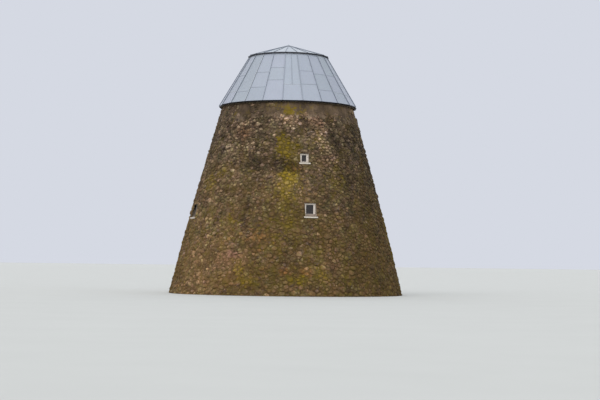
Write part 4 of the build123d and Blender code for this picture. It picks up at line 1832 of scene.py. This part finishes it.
@dataclass
class SheetRoof:
    """Steep skirt and low cap of metal sheets, with standing seams on the hips.

    Dirt is the share of the dark edge colour that a part shows; on the seams' stems, the locks and the
    sheets' rims that colour is dirt and painted shade.
    """

    packed: Packed
    seed: int = 5
    sheet: float = 0.0025
    skirt_tints: tuple[float, float] = (0.0, 0.85)
    # The cap's sheets take the paler tints: painted light on the low slope that faces the sky
    cap_tints_painted_light: tuple[float, float] = (0.86, 0.90)
    rim: float = 0.035
    rim_dirt_and_shade: float = 0.12
    lock_dirt_and_shade: float = 0.22
    fold_dirt: float = 0.20
    finial_dirt: float = 0.3
    lap: float = 0.007
    swell: float = 0.005
    seam_height: float = 0.046
    seam_width: float = 0.014
    fold_width: float = 0.024
    lock_height: float = 0.030
    lock_thickness: float = 0.006
    apron_down: float = 0.035
    apron_height: float = 0.075
    apron_thickness: float = 0.004
    drip_height: float = 0.064
    cap_drip_height: float = 0.045
    drip_thickness: float = 0.004
    roll_radius: float = 0.006
    columns: int = 10
    rows: int = 10

    def __post_init__(self) -> None:
        """Reads the facets' outline."""
        self.skirt = Slope.read(self.packed, "skirt_sheets")
        self.cap = Slope.read(self.packed, "cap_sheets")
        points = points_of(self.packed.nodes["cap_fascia"])
        radius = np.hypot(points[:, 0], points[:, 1])
        corners = points[radius > radius.max() - 0.001]
        degrees = np.sort(np.degrees(np.arctan2(corners[:, 1], corners[:, 0])))
        starts = np.flatnonzero(np.diff(degrees, prepend=-360.0) > 1.0)
        self.hips = [float(group.mean()) for group in np.split(degrees, starts[1:])]
        self.step = 360.0 / len(self.hips)
        self.rng = np.random.default_rng(self.seed)

    def build(self) -> None:
        """Builds the roof covering."""
        self.build_skirt()
        self.build_cap()

    def build_skirt(self) -> None:
        """Builds the steep skirt."""
        sheets, seams, drips = [], [], []
        facets = self.facets(self.skirt)
        front = min(range(len(facets)), key=lambda k: abs(facets[k].azimuth - VIEW_AZIMUTH))
        for k, facet in enumerate(facets):
            stops = (0.0, *self.locks(k - front), 1.0)
            for start, end in zip(stops, stops[1:]):
                sheets.append(self.make_sheet(facet, start, end, self.swell, self.skirt_tints))
            for stop in stops[1:-1]:
                seams.append(self.strip(facet, stop, self.lock_height, self.lock_thickness))
            seams.append(self.strip(facet, self.apron_down, self.apron_height, self.apron_thickness))
            drips.append(self.drip(facet, self.drip_height))
            if k == front:
                low, high = (Vector(facet.place(0.0, down, self.sheet)[0]) for down in (stops[1], 0.04))
                seams.append(self.seam(low, high, self.skirt.normal(facet.azimuth), self.seam_height * 0.7))
        seams += [self.hip_seam(self.skirt, hip, (0.03, 1.004), self.seam_height) for hip in self.hips]
        self.cover(sheets, "skirt_metal_sheets", "skirt_sheets", angle=30.0)
        self.cover(seams, "skirt_folds_and_seams", "skirt_seams")
        self.cover(drips, "eave_drip_edge", finish=Finishes.DRIP)

    def build_cap(self) -> None:
        """Builds the low cap and its finial."""
        facets = self.facets(self.cap)
        sheets = [self.make_sheet(facet, 0.0, 1.0, self.swell * 0.6, self.cap_tints_painted_light) for facet in facets]
        seams = [self.hip_seam(self.cap, hip, (0.0, 1.0), self.seam_height * 0.75) for hip in self.hips]
        self.cover(sheets, "cap_metal_sheets", "cap_sheets", angle=30.0)
        self.cover(seams, "cap_standing_seams", "cap_seams")
        drips = [self.drip(facet, self.cap_drip_height) for facet in facets]
        self.cover(drips, "cap_drip_edge", finish=Finishes.CAP_EDGE_IN_PAINTED_SHADOW)
        finial = self.packed.rounded("finial_cap", "finial_cap_sheet", 0.006, 2)
        self.tag_plain(finial, self.finial_dirt)
        settle(finial, Finishes.SHEET, "galvanised_sheet", "finial_cap", angle=35.0)

    def facets(self, slope: Slope) -> list[Facet]:
        """The facets of one ring, from the first hip on."""
        return [Facet(slope, hip + self.step / 2, self.step) for hip in self.hips]

    def locks(self, number: int) -> tuple[float, ...]:
        """Shares of the way down where a facet's sheets lock together.

        Args:
            number: The facet's place, counted from the one that faces the viewer.

        Returns:
            One or two shares.
        """
        if number in SKIRT_LOCKS:
            return SKIRT_LOCKS[number]
        upper = float(self.rng.uniform(0.32, 0.46))
        lower = float(self.rng.uniform(0.62, 0.80))
        return (upper, lower) if self.rng.uniform() < 0.75 else (lower,)

    def make_sheet(
        self, facet: Facet, start: float, end: float, swell: float, tints: tuple[float, float]
    ) -> Piece:
        """Models one sheet of a facet, a little swollen, with its foot lapped over the sheet below.

        Args:
            facet: The facet.
            start: Share of the way down where the sheet starts.
            end: Share of the way down where it ends.
            swell: How far the sheet swells between its edges.
            tints: Range that the sheet's tint is drawn from.

        Returns:
            The sheet.
        """
        piece = grid("sheet", self.columns, self.rows)
        u, v, _ = points_of(piece).T
        # The outermost row and column lie a rim's width in, where the dirt and painted shade along the seams
        # end
        at_side, at_end = np.abs(u) > 0.999, np.abs(v) > 0.999
        edge = self.rim / facet.slope.length
        squeezed = start + edge + (end - start - 2 * edge) * (1 - v / (1 - 2 / self.rows)) / 2
        down = np.where(at_end, start + (end - start) * (1 - v) / 2, squeezed)
        half = facet.half_width(down)
        across = np.where(at_side, np.sign(u) * half, u / (1 - 2 / self.columns) * (half - self.rim))
        phase = self.rng.uniform(0, 2 * math.pi, 2)
        wave = np.sin(u * 2.6 + phase[0]) * np.sin(v * 3.4 + phase[1])
        lift = self.sheet + swell * ((1 - u**2) * (1 - v**2)) * (1.0 + 0.8 * wave)
        lift += self.lap * np.clip((down - end) / 0.12 + 1, 0, 1) ** 2
        move_points(piece, facet.place(across, down, lift))
        tag(piece, "sheet_edge_dirt_and_shade", (at_side | at_end) * self.rim_dirt_and_shade)
        tag(piece, "sheet_tint", self.rng.uniform(*tints))
        thicken(piece, self.sheet)
        return piece

    def strip(self, facet: Facet, down: float, height: float, thick: float) -> Piece:
        """Models a folded strip across a facet.

        Args:
            facet: The facet.
            down: Share of the way down of the strip's middle.
            height: The strip's height up the slope.
            thick: How far it stands off the sheets.

        Returns:
            The strip, tagged with the dark edge colour of dirt and painted shade.
        """
        piece = block("strip", (-1, -1, 0), (1, 1, 1))
        u, v, w = points_of(piece).T
        share = down - v * height / 2 / facet.slope.length
        across = u * (facet.half_width(share) - self.seam_width / 2)
        move_points(piece, facet.place(across, share, self.sheet + self.lap * 0.4 + w * thick))
        bevel(piece, thick * 0.35)
        self.tag_plain(piece, self.lock_dirt_and_shade)
        return piece

    def tag_plain(self, piece: Piece, dirt: float) -> None:
        """Tags all of a piece with one share of the dark edge colour, dirt and painted shade, and one tint.
        """
        tag(piece, "sheet_edge_dirt_and_shade", dirt)
        tag(piece, "sheet_tint", self.rng.uniform(0, 1))

    def seam(self, low: Vector, high: Vector, normal: Vector, height: float) -> Piece:
        """Models a double-folded standing seam along a line, clean on its fold and dark on its stem with dirt
        and painted shade.

        Args:
            low: Foot of the line.
            high: Top of the line.
            normal: The way the seam stands up.
            height: How far it stands up.

        Returns:
            The seam.
        """
        parts = []
        # The stem takes the whole dark edge colour: dirt, and painted shade of the seam's flank
        for width, foot, top, rounding, segments, dirt in (
            (self.seam_width, -0.004, height * 0.62, 0.002, 1, 1.0),
            (self.fold_width, height * 0.55, height, height * 0.16, 3, self.fold_dirt),
        ):
            part = block("seam", (0, -width / 2, foot), ((high - low).length, width / 2, top))
            bevel(part, rounding, segments)
            self.tag_plain(part, dirt)
            parts.append(part)
        piece = join(parts, "seam")
        along = (high - low).normalized()
        side = normal.cross(along).normalized()
        turned = Matrix((along, side, along.cross(side))).transposed().to_4x4()
        piece.matrix_world = Matrix.Translation(low) @ turned
        fix(piece)
        return piece

    def hip_seam(self, slope: Slope, azimuth: float, ends: tuple[float, float], height: float) -> Piece:
        """Models the seam on one hip, between two shares of the way down."""
        high, low = (slope.hip(azimuth, down) for down in ends)
        return self.seam(low, high, slope.normal(azimuth), height)

    def drip(self, facet: Facet, height: float) -> Piece:
        """Models the drip edge that hangs from a facet's foot, with its rolled rim.

        Args:
            facet: The facet.
            height: How far it hangs down.

        Returns:
            The drip edge.
        """
        half = facet.half_width(1.0)
        radius, level = facet.slope.foot[0] * math.cos(math.radians(self.step / 2)), facet.slope.foot[1]
        thick, foot = self.drip_thickness, level - height
        strip = block("drip", (radius - thick, -half, foot), (radius, half, level - thick))
        roll = rod("roll", (radius - thick / 2, 0, foot), self.roll_radius, 2 * half, 8)
        piece = join((strip, roll), "drip")
        turn_to(piece, facet.azimuth)
        return piece

    @staticmethod
    def cover(
        parts: Sequence[Piece],
        name: str,
        *replaced: str,
        finish: Finishes = Finishes.SHEET,
        angle: float = 40.0,
    ) -> None:
        """Joins parts of the covering into one finished piece."""
        settle(join(parts, name), finish, "galvanised_sheet", *replaced, angle=angle)


# Azimuth that the viewer stands at, and where the sheets lock on each facet on that side
VIEW_AZIMUTH = -101.0
SKIRT_LOCKS = {
    -3: (0.79,),
    -2: (0.41, 0.72),
    -1: (0.32, 0.58),
    0: (0.67,),
    1: (0.38, 0.66),
    2: (0.43, 0.76),
    3: (0.43, 0.78),
}


# Windows and doorway


@dataclass
class Windows:
    """Frames, reveals and sills of the small windows."""

    packed: Packed
    profile: WallProfile
    plaster: float = 0.012
    proud: float = 0.006
    sill_rounding: float = 0.008
    frame_rounding: float = 0.005
    plaster_rounding: float = 0.003

    def build(self) -> None:
        """Builds every window, and the sills that share a node."""
        for node in self.packed.window_frames():
            self.frame(node)
            self.reveal(node)
        for kind in ("lower", "upper"):
            node = f"{kind}_window_sills"
            sills = self.packed.rounded(node, f"{kind}_limewashed_sills", self.sill_rounding)
            settle(sills, Finishes.SILL, "white_sill", node)

    def frame(self, node: str) -> None:
        """Rounds one frame's corners and tags each point with its height over the frame's foot.

        Args:
            node: The frame's node.
        """
        piece = self.packed.rounded(node, f"{node}_painted", self.frame_rounding, 2)
        level = points_of(piece)[:, 2]
        tag(piece, "rise", level - level.min())
        settle(piece, Finishes.FRAME_WITH_DARKER_FOOT if "lower" in node else Finishes.FRAME, "white_frame", node)

    def reveal(self, node: str) -> None:
        """Plasters the two cheeks and the head of one opening, out to the wall's face.

        Args:
            node: The node of the opening's frame.
        """
        azimuth = self.packed.azimuth_of(node)
        reach = self.packed.reach(node, azimuth)
        low, high = reach.level
        side, front = reach.width / 2, reach.radius[1]
        at_low, at_high = (self.profile.radius(level) for level in (low, high))
        corners = (
            ((side - self.plaster, low), (side, high)),
            ((-side, low), (self.plaster - side, high)),
            ((-side, high - self.plaster), (side, high)),
        )
        plates = [block("plate", (front, *a), (at_low + 0.1, *b)) for a, b in corners]
        piece = join(plates, f"{node.removesuffix(FRAME_END)}_plastered_reveal")
        normal = Vector((high - low, 0.0, at_low - at_high)).normalized()
        cut_back(piece, Vector((at_low + self.proud, 0.0, low)), normal)
        bevel(piece, self.plaster_rounding)
        turn_to(piece, azimuth)
        settle(piece, Finishes.PLASTER, "cement_render")


@dataclass
class Doorway:
    """Pair of plank leaves at the back, with their ironwork, frame, lintel and threshold."""

    packed: Packed
    planks: int = 5
    gap: float = 0.002
    chamfer: float = 0.004
    ledges: int = 3
    ledge_height: float = 0.14
    ledge_inset: float = 0.03
    ledge_margin: float = 0.16
    nail_radius: float = 0.009
    nail_spread: float = 0.04
    strap_height: float = 0.055
    strap_thickness: float = 0.006
    strap_reach: float = 0.82
    knuckle_radius: float = 0.014
    ring_radius: float = 0.055
    ring_thickness: float = 0.014
    ring_inset: float = 0.10
    plate_radius: float = 0.038
    plate_thickness: float = 0.008

    def build(self) -> None:
        """Builds the doorway."""
        for side in ("left", "right"):
            self.leaf(side)
        for node, finish, slot, rounding in (
            ("door_frame", Finishes.DOOR, "door_boards", 0.006),
            ("door_lintel", Finishes.DRESSED, "dressed_stone", 0.018),
            ("door_threshold", Finishes.DRESSED, "dressed_stone", 0.014),
        ):
            settle(self.packed.rounded(node, f"{node}_worn", rounding), finish, slot, node)

    def leaf(self, side: str) -> None:
        """Builds one leaf of planks on ledges, with nails, strap hinges and a handle.

        Args:
            side: Which leaf, left or right.
        """
        node = f"door_leaf_{side}"
        low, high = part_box(node)
        face, back = high.y, high.y - self.packed_thickness(node)
        width = (high.x - low.x) / self.planks
        heights = np.linspace(low.z + self.ledge_margin, high.z - self.ledge_margin, self.ledges)
        timber, iron = [], []
        for start in low.x + np.arange(self.planks) * width:
            plank = (start + self.gap / 2, back, low.z), (start + width - self.gap / 2, face, high.z)
            timber.append(block("plank", *plank))
            bevel(timber[-1], self.chamfer)
        for level in heights:
            foot, top = level - self.ledge_height / 2, level + self.ledge_height / 2
            ledge = (low.x + self.ledge_inset, low.y, foot), (high.x - self.ledge_inset, back, top)
            timber.append(block("ledge", *ledge))
            bevel(timber[-1], self.chamfer, 1)
        settle(join(timber, f"{node}_planks"), Finishes.DOOR, "door_boards", node, angle=35.0)
        for level in heights:
            for number in range(self.planks):
                middle = low.x + (number + 0.5) * width
                for offset in (-self.nail_spread, self.nail_spread):
                    iron.append(self.nail(middle + offset, face, level + offset * 0.6))
        inner = -1 if low.x + high.x > 0 else 1
        post, meeting = (low.x, high.x) if inner > 0 else (high.x, low.x)
        for level in (heights[0], heights[-1]):
            iron.append(self.strap(post, inner * (high.x - low.x) * self.strap_reach, face, level))
        if side == "right":
            iron.append(self.ring(meeting - inner * self.ring_inset, face, (low.z + high.z) / 2))
        settle(join(iron, f"{node}_ironwork"), Finishes.IRON, "door_boards")

    def packed_thickness(self, node: str) -> float:
        """Thickness of a leaf's planks, without its ledges."""
        depths = np.unique(np.round(points_of(self.packed.nodes[node])[:, 1], 4))
        return float(depths[-1] - depths[-2])

    def nail(self, x: float, face: float, level: float) -> Piece:
        """Models a forged nail's head.

        Args:
            x: Its place along the door.
            face: Depth of the planks' face.
            level: Its level.

        Returns:
            The head.
        """
        place = {"location": (x, face + 0.002, level), "rotation": (-math.pi / 2, 0, 0)}
        sizes = {"radius1": self.nail_radius, "radius2": self.nail_radius * 0.35, "depth": 0.006}
        return add_piece("cone", "nail", vertices=6, **sizes, **place)

    def strap(self, post: float, length: float, face: float, level: float) -> Piece:
        """Models a strap hinge that tapers to a round tip, with the knuckle at the post.

        Args:
            post: Where the knuckle stands.
            length: How far the strap reaches from there, less than zero to the left.
            face: Depth of the planks' face.
            level: Level of its middle.

        Returns:
            The hinge.
        """
        half, thick = self.strap_height / 2, self.strap_thickness
        strap = block("strap", (0, 0, -half), (1, thick, half))
        x, y, z = points_of(strap).T
        move_points(strap, np.stack([post + length * x, face + y, level + z * (1 - 0.45 * x)], axis=1))
        with editing(strap):
            bpy.ops.mesh.normals_make_consistent(inside=False)
        standing = (post, face + 0.008, level)
        knuckle = rod("knuckle", standing, self.knuckle_radius, 2.5 * half, 16, upright=True)
        tip = rod("tip", (post + length, face + thick / 2, level), 0.84 * half, thick, 16)
        for part, rounding in ((strap, 0.002), (knuckle, 0.003), (tip, 0.0015)):
            bevel(part, rounding)
        return join((strap, knuckle, tip), "strap")

    def ring(self, x: float, face: float, level: float) -> Piece:
        """Models a ring handle on its round plate.

        Args:
            x: Where it hangs.
            face: Depth of the planks' face.
            level: Level of its plate.

        Returns:
            The handle.
        """
        hung = (x, face + self.ring_thickness, level - self.ring_radius * 0.8)
        sizes = {"major_radius": self.ring_radius, "minor_radius": self.ring_thickness / 2}
        sizes |= {"major_segments": 28, "minor_segments": 8}
        ring = add_piece("torus", "ring", location=hung, rotation=(math.pi / 2, 0, 0), **sizes)
        thick = self.plate_thickness
        plate = rod("plate", (x, face + thick / 2, level), self.plate_radius, thick, 24)
        bevel(plate, 0.002)
        return join((ring, plate), "handle")


# The studio


@dataclass(frozen=True)
class Lamp:
    """A wide soft lamp, with its width and its place in the sky in degrees."""

    name: str
    azimuth: float
    height: float
    strength: float
    width: float
    colour: tuple = (255, 255, 255)

    def hang(self) -> None:
        """Adds the lamp."""
        data = bpy.data.lights.new(self.name, "SUN")
        data.energy = self.strength
        data.angle = math.radians(self.width)
        data.color = srgb(*self.colour)[:3]
        lamp = bpy.data.objects.new(self.name, data)
        bpy.context.scene.collection.objects.link(lamp)
        towards = radial(self.azimuth) * math.cos(math.radians(self.height))
        towards.z = math.sin(math.radians(self.height))
        lamp.rotation_euler = towards.to_track_quat("Z", "Y").to_euler()


# A key lamp from the front left, a fill and one behind
LAMPS = (
    Lamp("key_lamp", -128.0, 48.0, 1.60, 75.0),
    Lamp("fill_lamp", -55.0, 35.0, 0.46, 90.0, (232, 248, 255)),
    Lamp("back_lamp", 80.0, 38.0, 0.95, 85.0),
)


@dataclass
class Studio:
    """Floor, light and camera."""

    eye_height: float = 1.7
    distance: float = 83.4
    azimuth: float = -13.7
    focal_pixels: float = 1450.0
    image_width: float = 600.0
    axis_left_of_middle: float = 13.3
    horizon_below_middle: float = 64.5
    roll: float = 0.7
    sensor: float = 36.0
    floor_radius: float = 1500.0
    sight: float = 4000.0
    sky_colour: tuple = (213, 217, 227)

    def build(self) -> None:
        """Builds the floor, the light and the camera."""
        self.floor()
        self.world()
        for lamp in LAMPS:
            lamp.hang()
        self.camera()

    def floor(self) -> None:
        """Lays a plain pale floor."""
        floor = add_piece("circle", "studio_floor", vertices=128, radius=self.floor_radius, fill_type="NGON")
        floor.data.materials.append(FloorFinish("plain_floor", roughness=0.95).build())

    def world(self) -> None:
        """Sets a pale backdrop that metal and glass show too, and a plain level of light."""
        world = bpy.data.worlds.new("studio")
        bpy.context.scene.world = world
        world.use_nodes = True
        nodes = Nodes(world.node_tree)
        world.node_tree.nodes.clear()
        path = nodes.add("LightPath")
        seen = nodes.plus(path["Is Camera Ray"], path["Is Glossy Ray"], clamp=True)
        seen = nodes.plus(seen, path["Is Transmission Ray"], clamp=True)
        light = nodes.add("Background", {"Color": srgb(248, 248, 250), "Strength": 0.50})[0]
        backdrop = nodes.add("Background", {"Color": srgb(*self.sky_colour), "Strength": 1.0})[0]
        mix = nodes.add("MixShader", {0: seen, 1: light, 2: backdrop})[0]
        nodes.add("OutputWorld", {"Surface": mix})

    def camera(self) -> None:
        """Stands the camera at a person's eye height, with the tower a little left of the middle."""
        data = bpy.data.cameras.new("camera")
        data.sensor_width = self.sensor
        data.lens = self.focal_pixels / self.image_width * self.sensor
        data.clip_end = self.sight
        camera = bpy.data.objects.new("camera", data)
        bpy.context.scene.collection.objects.link(camera)
        bpy.context.scene.camera = camera
        place = radial(FRONT + self.azimuth) * self.distance
        place.z = self.eye_height
        yaw = math.atan(self.axis_left_of_middle / self.focal_pixels)
        pitch = math.atan(self.horizon_below_middle / self.focal_pixels)
        # The camera looks along its own -Z, so it is tipped up from straight down, then turned
        look_down = Matrix.Rotation(math.radians(self.roll), 4, "Z")
        tip = Matrix.Rotation(math.radians(90.0) + pitch, 4, "X")
        turn = Matrix.Rotation(math.radians(self.azimuth) - yaw, 4, "Z")
        camera.matrix_world = Matrix.Translation(place) @ turn @ tip @ look_down
        bpy.context.scene.view_settings.view_transform = "Standard"


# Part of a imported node's name and the finish of the nodes that have it, where the first match counts
NODE_FINISHES = (
    ("_wall_", Finishes.MORTAR), ("wall_head_ring", Finishes.RENDER), ("slab", Finishes.SLAB),
    ("door_lintel", Finishes.DRESSED), ("door_threshold", Finishes.DRESSED), ("_panes", Finishes.GLASS),
    ("eave_fascia", Finishes.EAVE_BOARD_IN_PAINTED_SHADOW), ("cap_fascia", Finishes.CAP_EDGE_IN_PAINTED_SHADOW), ("_sheets", Finishes.SHEET),
    ("_seams", Finishes.SHEET), ("finial_cap", Finishes.SHEET), ("_sills", Finishes.SILL),
    ("door_leaf", Finishes.DOOR), ("_window_frame", Finishes.FRAME), ("board", Finishes.BOARDS),
    ("", Finishes.TIMBER),
)


def main() -> None:
    """Dresses the tower, piece by piece, and sets up the studio."""
    logging.basicConfig(level=logging.INFO, format="%(name)s %(message)s")
    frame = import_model()
    packed = Packed(frame["nodes"])
    Studio().build()
    profile = WallProfile.read(packed)
    growth(profile)
    for effect in (weathering, grit, grain, wear):
        effect()
    gaps = []
    for node in packed.window_frames():
        azimuth = packed.azimuth_of(node)
        kind = "lower" if "lower" in node else "upper"
        for part in (packed.reach(node, azimuth), packed.reach(f"{kind}_window_sills", azimuth)):
            gaps.append(Gap(azimuth, part.width / 2, *part.level))
    door = packed.reach("door_frame", BACK)
    lintel = packed.reach("door_lintel", BACK, 2.0)
    gaps.append(Gap(BACK, door.width / 2, 0.0, door.level[1]))
    gaps.append(Gap(BACK, lintel.width / 2, *lintel.level))
    RubbleWall(profile, gaps).build()
    CoatEdge(profile).build()
    SheetRoof(packed).build()
    Windows(packed, profile).build()
    Doorway(packed).build()

    for name, node in frame["nodes"].items():
        dress(node, next(finish for part, finish in NODE_FINISHES if part in name))


if __name__ == "__main__":
    main()
